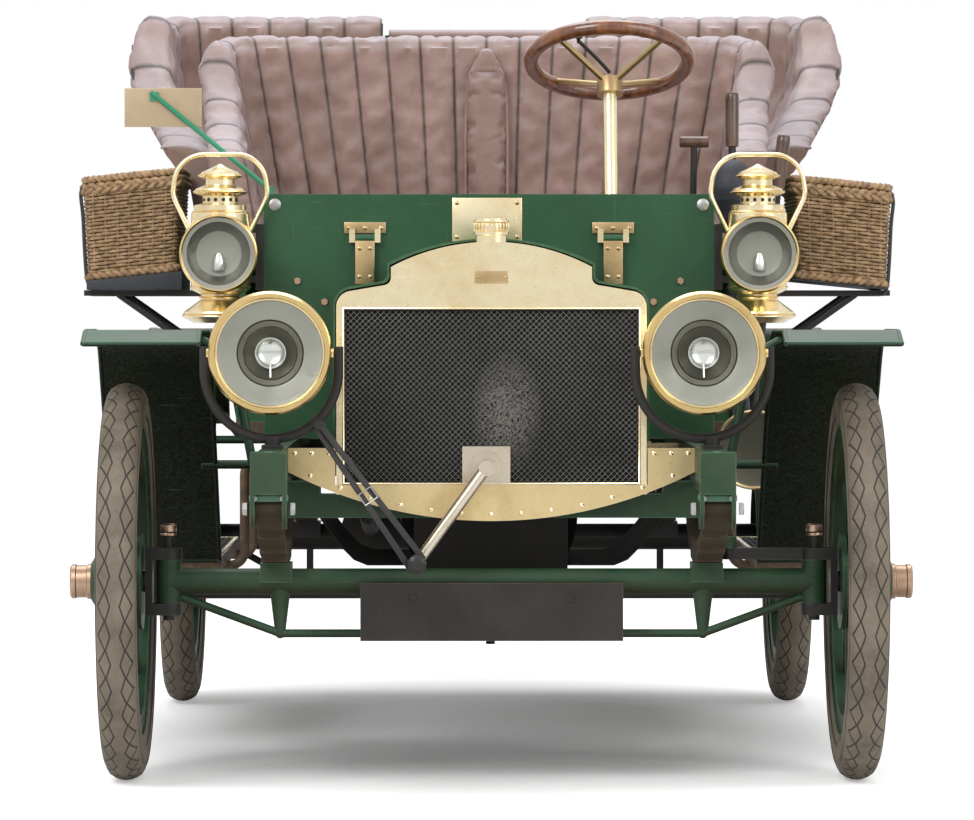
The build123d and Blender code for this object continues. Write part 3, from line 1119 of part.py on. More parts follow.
# Headlamps on forks, and oil side lamps on brackets at the dash
HEADLAMP_PROFILE = [
    (0, -100), (50, -95), (90, -75), (HEADLAMP_BODY_RADIUS, -40), (HEADLAMP_BODY_RADIUS, 62),
    (HEADLAMP_RIM_RADIUS, 66), (HEADLAMP_RIM_RADIUS, HEADLAMP_FRONT - 5),
    (HEADLAMP_RIM_RADIUS - 8, HEADLAMP_FRONT + 3),
    (HEADLAMP_GLASS_RADIUS + 2, HEADLAMP_FRONT + 3), (HEADLAMP_GLASS_RADIUS + SEAT_GAP, HEADLAMP_FRONT - 4),
    (HEADLAMP_GLASS_RADIUS + SEAT_GAP, HEADLAMP_FRONT - 11),
    (HEADLAMP_GLASS_RADIUS - 7, HEADLAMP_FRONT - 11),
    (84, 45), (56, -5), (0, -20),
]
FORWARD = (0, -1, 0)
GLASS_THICKNESS = 6
FORK_TOP = HEADLAMP_HEIGHT + 12
BOLT_RADIUS = 8

with BuildPart() as headlamps:
    for x in HEADLAMP_XS:
        centre = point(x, HEADLAMP_STATION, HEADLAMP_HEIGHT)
        turned(HEADLAMP_PROFILE, centre, FORWARD)
        for side in SIDES:
            rod(centre + Vector(side * (HEADLAMP_BODY_RADIUS - 3), 0, 0),
                centre + Vector(side * (FORK_SPREAD - FORK_RADIUS - SEAT_GAP), 0, 0), BOLT_RADIUS)
save(headlamps, "headlamps")

# columns: radius, height
SIDE_LAMP_PROFILE = [
    (0, SIDE_LAMP_BOTTOM), (52, SIDE_LAMP_BOTTOM), (78, 890), (74, 900), (40, 925), (40, 935),
    (SIDE_BODY_RADIUS, 945), (SIDE_BODY_RADIUS, 1100), (54, 1108), (54, 1118), (36, 1122), (36, 1136),
    (54, 1142), (50, 1152), (30, 1160), (30, 1170), (44, 1176), (38, 1186), (16, 1196), (0, 1204),
]
# columns: radius, distance ahead of the lamp's upright axis
SIDE_DRUM_FRONT = 86
SIDE_DRUM_PROFILE = [
    (0, 30), (72, 30), (SIDE_LENS_RADIUS, 36), (SIDE_LENS_RADIUS, SIDE_DRUM_FRONT - 6),
    (SIDE_LENS_RADIUS - 4, SIDE_DRUM_FRONT), (SIDE_GLASS_RADIUS + SEAT_GAP, SIDE_DRUM_FRONT),
    (SIDE_GLASS_RADIUS + SEAT_GAP, SIDE_DRUM_FRONT - 8), (SIDE_GLASS_RADIUS - 6, SIDE_DRUM_FRONT - 8),
    (48, 44), (0, 38),
]
# columns: distance from the lamp's axis, height, from the lower end to the top
LOOP_ROUTE = ((56, 1052), (98, 1140), (86, 1222))
LOOP_RADIUS = 5
LOOP_BENDS = (40, 60, 60, 40)

with BuildPart() as side_lamps:
    for side in SIDES:
        x = side * SIDE_LAMP_X
        turned(SIDE_LAMP_PROFILE, point(x, SIDE_LAMP_STATION, 0), (0, 0, 1))
        turned(SIDE_DRUM_PROFILE, point(x, SIDE_LAMP_STATION, SIDE_LENS_HEIGHT), FORWARD)
        left_half = [point(x - reach, SIDE_LAMP_STATION, z) for reach, z in LOOP_ROUTE]
        right_half = [point(x + reach, SIDE_LAMP_STATION, z) for reach, z in LOOP_ROUTE[::-1]]
        bent_rod(left_half + right_half, LOOP_RADIUS, LOOP_BENDS)
save(side_lamps, "side_lamps")

with BuildPart() as lamp_glasses:
    for x in HEADLAMP_XS:
        front = HEADLAMP_STATION - HEADLAMP_FRONT + 4
        rod(point(x, front, HEADLAMP_HEIGHT), point(x, front + GLASS_THICKNESS, HEADLAMP_HEIGHT),
            HEADLAMP_GLASS_RADIUS)
    for side in SIDES:
        front = SIDE_LAMP_STATION - SIDE_DRUM_FRONT + 1
        rod(point(side * SIDE_LAMP_X, front, SIDE_LENS_HEIGHT),
            point(side * SIDE_LAMP_X, front + GLASS_THICKNESS, SIDE_LENS_HEIGHT), SIDE_GLASS_RADIUS)
save(lamp_glasses, "lamp_glasses")

BRACKET_INNER = DASH_HALF_WIDTH + SEAT_GAP
BRACKET_OUTER = BRACKET_INNER + 16
BRACKET_ARM_END = SIDE_LAMP_X - SIDE_BODY_RADIUS + 2

with BuildPart() as lamp_irons:
    for side, x in zip(SIDES, HEADLAMP_XS):
        fork = [point(x - FORK_SPREAD, HEADLAMP_STATION, FORK_TOP),
                point(x - FORK_SPREAD, HEADLAMP_STATION, FORK_BOTTOM),
                point(x + FORK_SPREAD, HEADLAMP_STATION, FORK_BOTTOM),
                point(x + FORK_SPREAD, HEADLAMP_STATION, FORK_TOP)]
        bent_rod(fork, FORK_RADIUS, FORK_SPREAD - 0.5)
        foot = side * RAIL_X
        rod(point(foot, HEADLAMP_STATION, RAIL_TOP), point(foot, HEADLAMP_STATION, FORK_BOTTOM + 3), 15)
        block((foot - 20, foot + 20), (HEADLAMP_STATION - 30, HEADLAMP_STATION + 30),
              (RAIL_TOP, RAIL_TOP + 8))
    for side in SIDES:
        block((side * BRACKET_INNER, side * BRACKET_OUTER),
              (SIDE_LAMP_STATION + 16, DASH_STATION + DASH_THICKNESS),
              (945, 1080))
        for height in (960, 1062):
            block((side * BRACKET_INNER, side * BRACKET_ARM_END),
                  (SIDE_LAMP_STATION + 18, SIDE_LAMP_STATION + 32),
                  (height, height + 14))
save(lamp_irons, "lamp_irons")

# Bulb horn beside the body
# columns: radius, distance behind the mouth, outside then inside
HORN_PROFILE = [
    (HORN_MOUTH_RADIUS, 0), (HORN_MOUTH_RADIUS - 2, 6), (58, 40), (40, 80), (26, 120), (14, 150),
    (HORN_TUBE_RADIUS, 150), (21, 118), (35, 78), (53, 40), (HORN_MOUTH_RADIUS - 7, 5),
    (HORN_MOUTH_RADIUS - 5, 0),
]
HORN_LENGTH = 150

with BuildPart() as horn:
    mouth = point(HORN_X, HORN_STATION, HORN_HEIGHT)
    turned(HORN_PROFILE, mouth, (0, 1, 0))
    rod(point(STAY_ROOT, HORN_STATION + 100, HORN_HEIGHT),
        point(HORN_X - 28, HORN_STATION + 100, HORN_HEIGHT), STAY_RADIUS)
save(horn, "horn")

# columns: radius, height from the bulb's middle
BULB_PROFILE = [(0, -76), (14, -76), (20, -58), (44, -20), (50, 4), (46, 30), (28, 56), (0, 66)]

with BuildPart() as horn_bulb:
    tube_end = HORN_STATION + HORN_LENGTH + SEAT_GAP
    bent_rod([point(HORN_X, tube_end, HORN_HEIGHT), point(HORN_X, tube_end + 48, HORN_HEIGHT),
              point(BULB_X, tube_end + 48, BULB_HEIGHT - 70)], HORN_TUBE_RADIUS, 40)
    turned(BULB_PROFILE, point(BULB_X, tube_end + 48, BULB_HEIGHT), (0, 0, 1))
save(horn_bulb, "horn_bulb")

# Hand levers: two outside the body on one cross shaft, one through the floor
LEVER_STATION = 1100
LEVER_SHAFT_HEIGHT = 585
# columns: foot X, top X, top station, top height
LEVERS = ((521, 521, 1120, 1366), (552, 631, 1110, 1275))
LEVER_GRIP = 110

with BuildPart() as hand_levers:
    rod(point(STAY_ROOT, LEVER_STATION, LEVER_SHAFT_HEIGHT),
        point(575, LEVER_STATION, LEVER_SHAFT_HEIGHT), 14)
    for foot_x, top_x, top_station, top_height in LEVERS:
        foot = point(foot_x, LEVER_STATION, LEVER_SHAFT_HEIGHT)
        top = point(top_x, top_station, top_height)
        rod(foot, top, 8)
        rod(top - (top - foot).normalized() * LEVER_GRIP, top, 13)
    rod(point(430, LEVER_STATION, FLOOR_TOP + SEAT_GAP), point(439, LEVER_STATION, 1262), 7)
    rod(point(412, LEVER_STATION, 1262), point(466, LEVER_STATION, 1262), 11)
save(hand_levers, "hand_levers")

# Mirror on a slanting rod at the dash corner
MIRROR_STATION = DASH_STATION + 13
MIRROR_XS = (-749, -592)
MIRROR_HEIGHTS = (1281, 1359)
MIRROR_THICKNESS = 10
MIRROR_ROD_RADIUS = 5
# columns: X, height
MIRROR_FOOT = (-452, DASH_TOP + 10)
MIRROR_HEAD = (-696, 1352)
MIRROR_LUG = 18
MIRROR_FOOT_HALF = 10

with BuildPart() as mirror:
    block(MIRROR_XS, (MIRROR_STATION + 6, MIRROR_STATION + 6 + MIRROR_THICKNESS), MIRROR_HEIGHTS)
    rod(point(MIRROR_FOOT[0], MIRROR_STATION, MIRROR_FOOT[1]),
        point(MIRROR_HEAD[0], MIRROR_STATION, MIRROR_HEAD[1]), MIRROR_ROD_RADIUS)
    block((MIRROR_HEAD[0] - 2, MIRROR_HEAD[0] + MIRROR_LUG - 2), (MIRROR_STATION, MIRROR_STATION + 8),
          (MIRROR_HEAD[1] - MIRROR_LUG, MIRROR_HEAD[1]))
    block((MIRROR_FOOT[0] - MIRROR_FOOT_HALF, MIRROR_FOOT[0] + MIRROR_FOOT_HALF),
          (MIRROR_STATION - MIRROR_FOOT_HALF, MIRROR_STATION + MIRROR_FOOT_HALF), (DASH_TOP, DASH_TOP + 16))
save(mirror, "mirror")

# Blank number plate hung from the front axle
with BuildPart() as number_plate:
    block((-PLATE_HALF_WIDTH, PLATE_HALF_WIDTH), (PLATE_STATION - PLATE_THICKNESS, PLATE_STATION),
          (PLATE_BOTTOM, PLATE_TOP))
    for side in SIDES:
        block((side * 135, side * 165), (PLATE_STATION, -AXLE_RADIUS - SEAT_GAP),
              (PLATE_TOP - 15, PLATE_TOP - 1))
save(number_plate, "number_plate")

# Wicker baskets on iron carriers, with lids that pivot at their inner edge
LID_BARREL = BASKET_LID / 2
LID_AXIS_X = BASKET_INNER_X + LID_BARREL
LID_AXIS_HEIGHT = BASKET_TOP + SEAT_GAP + LID_BARREL
LUG = 11
LID_ENDS = (BASKET_FRONT + LUG + 1, BASKET_REAR - LUG - 1)
LID_PIN_RADIUS = 3
LID_PIN_LENGTH = 14

with BuildPart() as baskets:
    for side in SIDES:
        block((side * BASKET_INNER_X, side * BASKET_OUTER_X), (BASKET_FRONT, BASKET_REAR),
              (BASKET_BOTTOM, BASKET_TOP))
        block((side * (BASKET_INNER_X + BASKET_WALL), side * (BASKET_OUTER_X - BASKET_WALL)),
              (BASKET_FRONT + BASKET_WALL, BASKET_REAR - BASKET_WALL),
              (BASKET_BOTTOM + BASKET_WALL, BASKET_TOP + 1),
              mode=Mode.SUBTRACT)
        # columns: lug stations, pin end station
        for stations, pin_end in (((BASKET_FRONT, BASKET_FRONT + LUG), LID_ENDS[0] + LID_PIN_LENGTH),
                                  ((BASKET_REAR - LUG, BASKET_REAR), LID_ENDS[1] - LID_PIN_LENGTH)):
            block((side * BASKET_INNER_X, side * (BASKET_INNER_X + BASKET_LID)), stations,
                  (BASKET_TOP - 6, LID_AXIS_HEIGHT + LID_BARREL))
            rod(point(side * LID_AXIS_X, sum(stations) / 2, LID_AXIS_HEIGHT),
                point(side * LID_AXIS_X, pin_end, LID_AXIS_HEIGHT),
                LID_PIN_RADIUS)
save(baskets, "baskets")

for side, name in ((1, "basket_lid_left"), (-1, "basket_lid_right")):
    with BuildPart() as lid:
        block((side * LID_AXIS_X, side * BASKET_OUTER_X), LID_ENDS,
              (BASKET_TOP + SEAT_GAP, BASKET_TOP + SEAT_GAP + BASKET_LID))
        rod(point(side * LID_AXIS_X, LID_ENDS[0], LID_AXIS_HEIGHT),
            point(side * LID_AXIS_X, LID_ENDS[1], LID_AXIS_HEIGHT),
            LID_BARREL)
        for start, end in ((LID_ENDS[0] - 1, LID_ENDS[0] + LID_PIN_LENGTH + 1),
                           (LID_ENDS[1] + 1, LID_ENDS[1] - LID_PIN_LENGTH - 1)):
            rod(point(side * LID_AXIS_X, start, LID_AXIS_HEIGHT),
                point(side * LID_AXIS_X, end, LID_AXIS_HEIGHT),
                LID_PIN_RADIUS + RUNNING_FIT, mode=Mode.SUBTRACT)
    save(lid, name)

CARRIER_TOP = BASKET_BOTTOM - SEAT_GAP
CARRIER_BAR_WIDTH = 26
CARRIER_STATIONS = (BASKET_FRONT + 40, BASKET_REAR - 66)
# columns: distance outward from the basket's inner wall
CARRIER_RAILS = (35, 185)
CARRIER_STRUT_REACH = 145
CARRIER_STRUT_DROP = 170
CARRIER_STRUT_RADIUS = 8

with BuildPart() as basket_carriers:
    for side in SIDES:
        for behind in CARRIER_STATIONS:
            block((side * (SEAT_BASE_HALF_WIDTH + 4), side * (BASKET_OUTER_X - 8)),
                  (behind, behind + CARRIER_BAR_WIDTH), (CARRIER_TOP - CARRIER_BAR, CARRIER_TOP))
            strut_station = behind + CARRIER_BAR_WIDTH / 2
            foot_x = SEAT_BASE_HALF_WIDTH + PART_GAP
            head_x = BASKET_INNER_X + CARRIER_STRUT_REACH
            rod(point(side * foot_x, strut_station, SEAT_BASE_TOP - CARRIER_STRUT_DROP),
                point(side * head_x, strut_station, CARRIER_TOP - CARRIER_STRUT_RADIUS),
                CARRIER_STRUT_RADIUS)
        for outward in CARRIER_RAILS:
            inner = BASKET_INNER_X + outward
            block((side * inner, side * (inner + CARRIER_BAR_WIDTH)),
                  (CARRIER_STATIONS[0], CARRIER_STATIONS[1] + CARRIER_BAR_WIDTH),
                  (CARRIER_TOP - CARRIER_BAR, CARRIER_TOP))
save(basket_carriers, "basket_carriers")
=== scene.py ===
# %% [markdown]
# # A brass era touring car, dressed in Blender
# The solid model already holds every main form: frame, wheels, lamps, tub and tonneau. This lesson adds
# what paint, leather, cane and small metalwork give the real car. All pieces are in metres, in the solid
# model's own frame: Z is up, the car faces -Y, and +X is its left side.

# %% Load the solid model
import bpy
from math import atan2, cos, exp, hypot, pi, radians, sin, tan
from mathutils import Euler, Matrix, Vector, noise
from random import Random


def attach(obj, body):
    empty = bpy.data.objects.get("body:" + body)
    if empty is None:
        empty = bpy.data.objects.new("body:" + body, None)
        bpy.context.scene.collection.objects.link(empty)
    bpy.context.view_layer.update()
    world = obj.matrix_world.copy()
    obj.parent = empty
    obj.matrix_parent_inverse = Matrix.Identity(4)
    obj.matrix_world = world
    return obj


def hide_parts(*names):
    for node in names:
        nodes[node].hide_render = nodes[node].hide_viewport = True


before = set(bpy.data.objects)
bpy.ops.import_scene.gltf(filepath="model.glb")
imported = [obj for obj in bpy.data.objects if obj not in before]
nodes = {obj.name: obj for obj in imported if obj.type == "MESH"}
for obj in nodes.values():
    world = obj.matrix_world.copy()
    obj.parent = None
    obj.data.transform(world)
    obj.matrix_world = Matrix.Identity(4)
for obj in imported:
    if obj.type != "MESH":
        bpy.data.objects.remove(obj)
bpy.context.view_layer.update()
bpy.ops.object.select_all(action="DESELECT")

# %% [markdown]
# ## Places on the car
# The drawings of such a car measure everything from the front axle, in millimetres. One helper turns a
# drawing place into a Blender point, so that the sizes below can be compared with the solid model's own.

# %% Places in millimetres
MM = 0.001
HALF_WHEELBASE = 1050
SIDES = (-1, 1)
LEFT_RIGHT = (("left", 1), ("right", -1))
WHEEL_X, WHEEL_RADIUS = 700, 381
# columns: name, side of the car, distance behind the front axle
WHEELS = (("front_left", 1, 0), ("front_right", -1, 0), ("rear_left", 1, 2100), ("rear_right", -1, 2100))
FORWARD, BACKWARD, UP = (0, -1, 0), (0, 1, 0), (0, 0, 1)


def at(x, behind, z):
    """Point from X, distance behind the front axle and height, in millimetres."""
    return Vector((x, behind - HALF_WHEELBASE, z)) * MM


print("front axle stands at", tuple(at(0, 0, WHEEL_RADIUS)))

# %% [markdown]
# ## Camera
# The photograph was taken square from the front, from about ten metres, with a long lens. The vanishing
# point lies a little left of and above the middle of the frame, so the camera is turned by those few
# tenths of a degree and needs no shift.

# %% Camera
IMAGE_WIDTH, IMAGE_HEIGHT = 974, 820
FOCAL_PIXELS = 5260
VANISHING_POINT = (454, 321)
camera_data = bpy.data.cameras.new("front_camera")
camera_data.sensor_width = 36
camera_data.lens = 36 * FOCAL_PIXELS / IMAGE_WIDTH
camera_data.clip_end = 100
camera = bpy.data.objects.new("front_camera", camera_data)
bpy.context.scene.collection.objects.link(camera)
camera.location = at(-72, -10100, 881)
turn = atan2(IMAGE_WIDTH / 2 - VANISHING_POINT[0], FOCAL_PIXELS)
tip = atan2(IMAGE_HEIGHT / 2 - VANISHING_POINT[1], FOCAL_PIXELS)
camera.rotation_euler = Euler((pi / 2 - tip, 0, -turn))
bpy.context.scene.camera = camera
print("lens", round(camera_data.lens, 1), "mm")

# %% [markdown]
# ## Nodes in code
# A material is a small network. Short helpers keep it readable: they add a node with its settings and
# inputs, do arithmetic, ramp and mix colours, and turn a height into a normal.

# %% Node helpers
def feed(tree, made, inputs):
    """Give a node's inputs values or other nodes' outputs."""
    for key, value in inputs.items():
        if isinstance(value, bpy.types.NodeSocket):
            tree.links.new(value, made.inputs[key])
        else:
            made.inputs[key].default_value = value


def node(tree, kind, inputs=None, **settings):
    """Add a node with its settings and inputs."""
    made = tree.nodes.new(kind)
    for key, value in settings.items():
        setattr(made, key, value)
    feed(tree, made, inputs or {})
    return made


def maths(tree, operation, *values):
    """One step of arithmetic."""
    return node(tree, "ShaderNodeMath", dict(enumerate(values)), operation=operation).outputs[0]


def ramp(tree, factor, stops):
    """Colour ramp from (position, colour or grey value) stops."""
    made = node(tree, "ShaderNodeValToRGB", {"Fac": factor})
    elements = made.color_ramp.elements
    while len(elements) < len(stops):
        elements.new(0.5)
    for element, (position, colour) in zip(elements, stops):
        element.position = position
        if isinstance(colour, (int, float)):
            colour = (colour, colour, colour)
        element.color = (*colour, 1)
    return made.outputs["Color"]


def mixed(tree, factor, first, second, blend="MIX"):
    """Mix two colours by a mask."""
    values = {0: factor, 6: first, 7: second}
    values = {key: (*value, 1) if isinstance(value, tuple) else value for key, value in values.items()}
    return node(tree, "ShaderNodeMix", values, data_type="RGBA", blend_type=blend).outputs[2]


def scaled(tree, value, factor, offset=0.0):
    """A value times a factor plus an offset."""
    return maths(tree, "MULTIPLY_ADD", value, factor, offset)


def bumped(tree, height, strength, distance):
    """Normal from a height."""
    values = {"Height": height, "Strength": strength, "Distance": distance}
    return node(tree, "ShaderNodeBump", values).outputs["Normal"]


def new_finish(name):
    """A material with its tree, shader and object coordinates."""
    material = bpy.data.materials.new(name)
    material.use_nodes = True
    tree = material.node_tree
    shader = tree.nodes["Principled BSDF"]
    place = node(tree, "ShaderNodeTexCoord").outputs["Object"]
    return material, tree, shader, place


print("node helpers ready")

# %% [markdown]
# ## Studio: floor, sky and lamps
# The car stands on a pale sweep of paper. A large plane bent up behind would show a crease, so the floor
# runs to the horizon and the world behind it is white for the camera and for reflections. Away from the
# car the floor glows a little for the camera, so it meets the white without a line. Two large soft lamps
# from above the camera and one from overhead keep a plain level.

# %% Floor, sky and lamps
bpy.ops.mesh.primitive_circle_add(vertices=96, radius=60, fill_type="NGON", location=(0, 0, 0))
floor = bpy.context.object
floor.name = "studio_floor"
paper, tree, shader, place = new_finish("studio_paper")
fibres = node(tree, "ShaderNodeTexNoise", {"Vector": place, "Scale": 40.0, "Detail": 4.0}).outputs["Fac"]
pale = ramp(tree, fibres, [(0.3, (0.88, 0.88, 0.88)), (0.7, (0.92, 0.92, 0.92))])
ray = node(tree, "ShaderNodeLightPath")
oval = node(tree, "ShaderNodeVectorMath", {0: place, 1: (1.9, 0.75, 1.0)}, operation="MULTIPLY").outputs[0]
away = node(tree, "ShaderNodeVectorMath", {0: oval}, operation="LENGTH").outputs["Value"]
lit = node(tree, "ShaderNodeMapRange", {"Value": away, "From Min": 0.8, "From Max": 2.0, "To Min": 0.03,
                                        "To Max": 0.50}, interpolation_type="SMOOTHSTEP").outputs[0]
glow = maths(tree, "MULTIPLY", ray.outputs["Is Camera Ray"], lit)
feed(tree, shader, {"Base Color": pale, "Roughness": 0.9, "Specular IOR Level": 0.0,
                    "Emission Color": (1, 1, 1, 1), "Emission Strength": glow})
floor.data.materials.append(paper)

world = bpy.data.worlds.new("studio_world")
bpy.context.scene.world = world
world.use_nodes = True
tree = world.node_tree
ray = node(tree, "ShaderNodeLightPath")
seen = maths(tree, "MAXIMUM", ray.outputs["Is Camera Ray"], ray.outputs["Is Transmission Ray"])
level = node(tree, "ShaderNodeMapRange", {"Value": seen, "To Min": 0.62, "To Max": 1.0}).outputs[0]
mirrored = maths(tree, "MULTIPLY_ADD", ray.outputs["Is Glossy Ray"], 0.3, level)
feed(tree, tree.nodes["Background"], {"Strength": mirrored, "Color": (1, 1, 1, 1)})

# columns: name, place in metres, aimed at, size, watts
LAMPS = (
    ("key_lamp", (-3.2, -5.0, 4.6), (0, -0.6, 0.7), 3.2, 250),
    ("fill_lamp", (4.0, -4.2, 3.2), (0, -0.5, 0.7), 3.6, 130),
    ("top_lamp", (0, 1.5, 5.2), (0, 0.2, 0.8), 3.5, 150),
)
for name, spot, aim, size, watts in LAMPS:
    lamp_data = bpy.data.lights.new(name, "AREA")
    lamp_data.energy = watts
    lamp_data.size = size
    lamp = bpy.data.objects.new(name, lamp_data)
    bpy.context.scene.collection.objects.link(lamp)
    lamp.location = spot
    lamp.rotation_euler = (Vector(aim) - Vector(spot)).to_track_quat("-Z", "Y").to_euler()
bpy.context.scene.view_settings.view_transform = "Standard"
print("lamps:", [row[0] for row in LAMPS])

# %% [markdown]
# ## Shared wear
# Old paint and brass share the same history: cloudy handling marks, fine specks, long scratches and
# rubbed edges. Each is a mask, so it is built once as a node group and placed in every finish with its
# own scale. The rubbed edge compares the true normal with a bevelled one, which finds edges on any mesh.

# %% Node groups for wear
def new_group(name, inputs, outputs):
    """Empty node group with float inputs (title, value) and float outputs."""
    group = bpy.data.node_groups.new(name, "ShaderNodeTree")
    for title, value in inputs:
        group.interface.new_socket(title, in_out="INPUT",
                                   socket_type="NodeSocketFloat").default_value = value
    for title in outputs:
        group.interface.new_socket(title, in_out="OUTPUT", socket_type="NodeSocketFloat")
    return group, node(group, "NodeGroupInput").outputs, node(group, "NodeGroupOutput").inputs


marks, given, result = new_group("handling_marks", [("Scale", 1.0)], ["Cloud", "Speck", "Scratch"])
place = node(marks, "ShaderNodeTexCoord").outputs["Object"]
cloud = node(marks, "ShaderNodeTexNoise", {"Vector": place, "Scale": scaled(marks, given["Scale"], 7.0),
                                           "Detail": 6.0, "Roughness": 0.62}).outputs["Fac"]
speck = node(marks, "ShaderNodeTexNoise", {"Vector": place, "Scale": scaled(marks, given["Scale"], 160.0),
                                           "Detail": 3.0}).outputs["Fac"]
lines = []
for stretch in ((260, 260, 9), (12, 300, 240)):
    streak = node(marks, "ShaderNodeMapping",
                  {"Vector": place, "Rotation": (0.3, 0.5, 0.9), "Scale": stretch})
    line = node(marks, "ShaderNodeTexNoise",
                {"Vector": streak.outputs[0], "Scale": given["Scale"], "Detail": 1.0})
    lines.append(node(marks, "ShaderNodeMapRange", {"Value": line.outputs["Fac"], "From Min": 0.72,
                                                    "From Max": 0.82}).outputs[0])
scratch = maths(marks, "MAXIMUM", lines[0], lines[1])
for title, value in (("Cloud", cloud), ("Speck", speck), ("Scratch", scratch)):
    marks.links.new(value, result[title])

rubbed, given, result = new_group("rubbed_edges", [("Width", 0.004), ("Ragged", 0.5)], ["Rub"])
soft = node(rubbed, "ShaderNodeBevel", {"Radius": given["Width"]}, samples=4).outputs[0]
true = node(rubbed, "ShaderNodeNewGeometry").outputs["Normal"]
agree = node(rubbed, "ShaderNodeVectorMath", {0: soft, 1: true}, operation="DOT_PRODUCT").outputs["Value"]
edge = node(rubbed, "ShaderNodeMapRange", {"Value": agree, "From Min": 0.97, "From Max": 0.80}).outputs[0]
place = node(rubbed, "ShaderNodeTexCoord").outputs["Object"]
torn = node(rubbed, "ShaderNodeTexNoise", {"Vector": place, "Scale": 45.0, "Detail": 5.0}).outputs["Fac"]
torn = node(rubbed, "ShaderNodeMapRange", {"Value": torn, "From Min": 0.42, "From Max": 0.60}).outputs[0]
kept = node(rubbed, "ShaderNodeMix", {0: given["Ragged"], 2: 1.0, 3: torn}, data_type="FLOAT").outputs[0]
rubbed.links.new(maths(rubbed, "MULTIPLY", edge, kept),
                 result["Rub"])


def wear(tree, scale, width=0.004, ragged=0.6):
    """Cloud, speck, scratch and rub masks in one material."""
    handled = node(tree, "ShaderNodeGroup", node_tree=marks)
    handled.inputs["Scale"].default_value = scale
    edges = node(tree, "ShaderNodeGroup", node_tree=rubbed)
    edges.inputs["Width"].default_value = width
    edges.inputs["Ragged"].default_value = ragged
    return [handled.outputs[title] for title in ("Cloud", "Speck", "Scratch")] + [edges.outputs["Rub"]]


def narrowed(tree, mask, low, high, most=1.0):
    """Keep the part of a mask between two levels, up to a strength."""
    values = {"Value": mask, "From Min": low, "From Max": high, "To Max": most}
    return node(tree, "ShaderNodeMapRange", values).outputs[0]


print("wear groups:", marks.name, rubbed.name)

# %% [markdown]
# ## Paint
# Coach paint is a deep colour under varnish: a clear coat over a base that has faded in clouds, with pale
# scratches and edges rubbed to undercoat. Faces that look down, which the geometry's normal finds, are
# darkened: road grime gathers there, and the darkening also paints the shade under the car's parts.

# %% Painted finishes
def painted(name, deep, faded, rubbed_to, dirt_and_shade, dirt_and_shade_amount, rough, coat):
    """Varnished or dull paint with clouds, scratches, rubbed edges and painted shade with grime on downward
    faces.
    """
    material, tree, shader, place = new_finish(name)
    cloud, speck, scratch, rub = wear(tree, 1.0)
    colour = mixed(tree, narrowed(tree, cloud, 0.35, 0.7), deep, faded)
    facing = node(tree, "ShaderNodeSeparateXYZ",
                  {0: node(tree, "ShaderNodeNewGeometry").outputs["Normal"]}).outputs[2]
    # Darkening of faces that look down: road grime and painted shade.
    below = narrowed(tree, facing, 0.25, -0.6, dirt_and_shade_amount)
    patch = narrowed(tree, speck, 0.35, 0.7)
    dirt_and_shade_mask = maths(tree, "MULTIPLY", below, scaled(tree, patch, 0.2, 0.8))
    colour = mixed(tree, dirt_and_shade_mask, colour, dirt_and_shade)
    colour = mixed(tree, scaled(tree, scratch, 0.16), colour, rubbed_to)
    colour = mixed(tree, scaled(tree, rub, 0.7), colour, rubbed_to)
    feed(tree, shader, {"Base Color": colour,
                        "Roughness": scaled(tree, cloud, 0.3, rough - 0.15),
                        "Coat Weight": scaled(tree, dirt_and_shade_mask, -coat, coat),
                        "Coat Roughness": 0.12,
                        "Specular IOR Level": scaled(tree, dirt_and_shade_mask, -0.28, 0.3),
                        "Normal": bumped(tree, mixed(tree, 0.5, cloud, scratch), 0.12, 0.002)})
    return material


body_green = painted("coach_green", (0.014, 0.074, 0.028), (0.024, 0.102, 0.044), (0.16, 0.26, 0.17),
                     (0.03, 0.032, 0.018), 0.5, 0.40, 0.22)
# Fender paint: a darker copy of the coach green, partly painted shade for the fenders' shaded faces, with a
# near-black colour laid fully on faces that look down as painted shade under the fenders.
fender_green = painted("fender_green", (0.012, 0.045, 0.022), (0.02, 0.07, 0.036), (0.22, 0.32, 0.25),
                       (0.009, 0.008, 0.004), 1.0, 0.5, 0.3)
chassis_green = painted("chassis_green", (0.012, 0.046, 0.020), (0.034, 0.072, 0.036), (0.13, 0.23, 0.15),
                        (0.03, 0.026, 0.014), 0.8, 0.55, 0.15)
black_iron = painted("black_iron", (0.010, 0.010, 0.010), (0.022, 0.021, 0.019), (0.09, 0.075, 0.06),
                     (0.03, 0.024, 0.017), 0.6, 0.5, 0.2)
plate_black = painted("plate_black", (0.012, 0.012, 0.012), (0.028, 0.026, 0.023), (0.16, 0.09, 0.05),
                      (0.05, 0.03, 0.018), 0.4, 0.48, 0.15)
spring_steel = painted("spring_steel", (0.030, 0.022, 0.012), (0.07, 0.048, 0.026), (0.14, 0.09, 0.05),
                       (0.035, 0.026, 0.016), 0.8, 0.65, 0.0)
engine_iron = painted("engine_iron", (0.012, 0.011, 0.010), (0.03, 0.027, 0.023), (0.08, 0.07, 0.06),
                      (0.02, 0.017, 0.012), 0.8, 0.6, 0.0)
print("paints made")

# %% [markdown]
# ## Bare metal
# The brass is polished by hand, so it is pale and bright where a cloth reaches, browner in clouds and
# recesses, and slightly dented. Metal colour comes from the base colour at full metallic, and the
# softness of the shine from roughness that follows the same clouds.

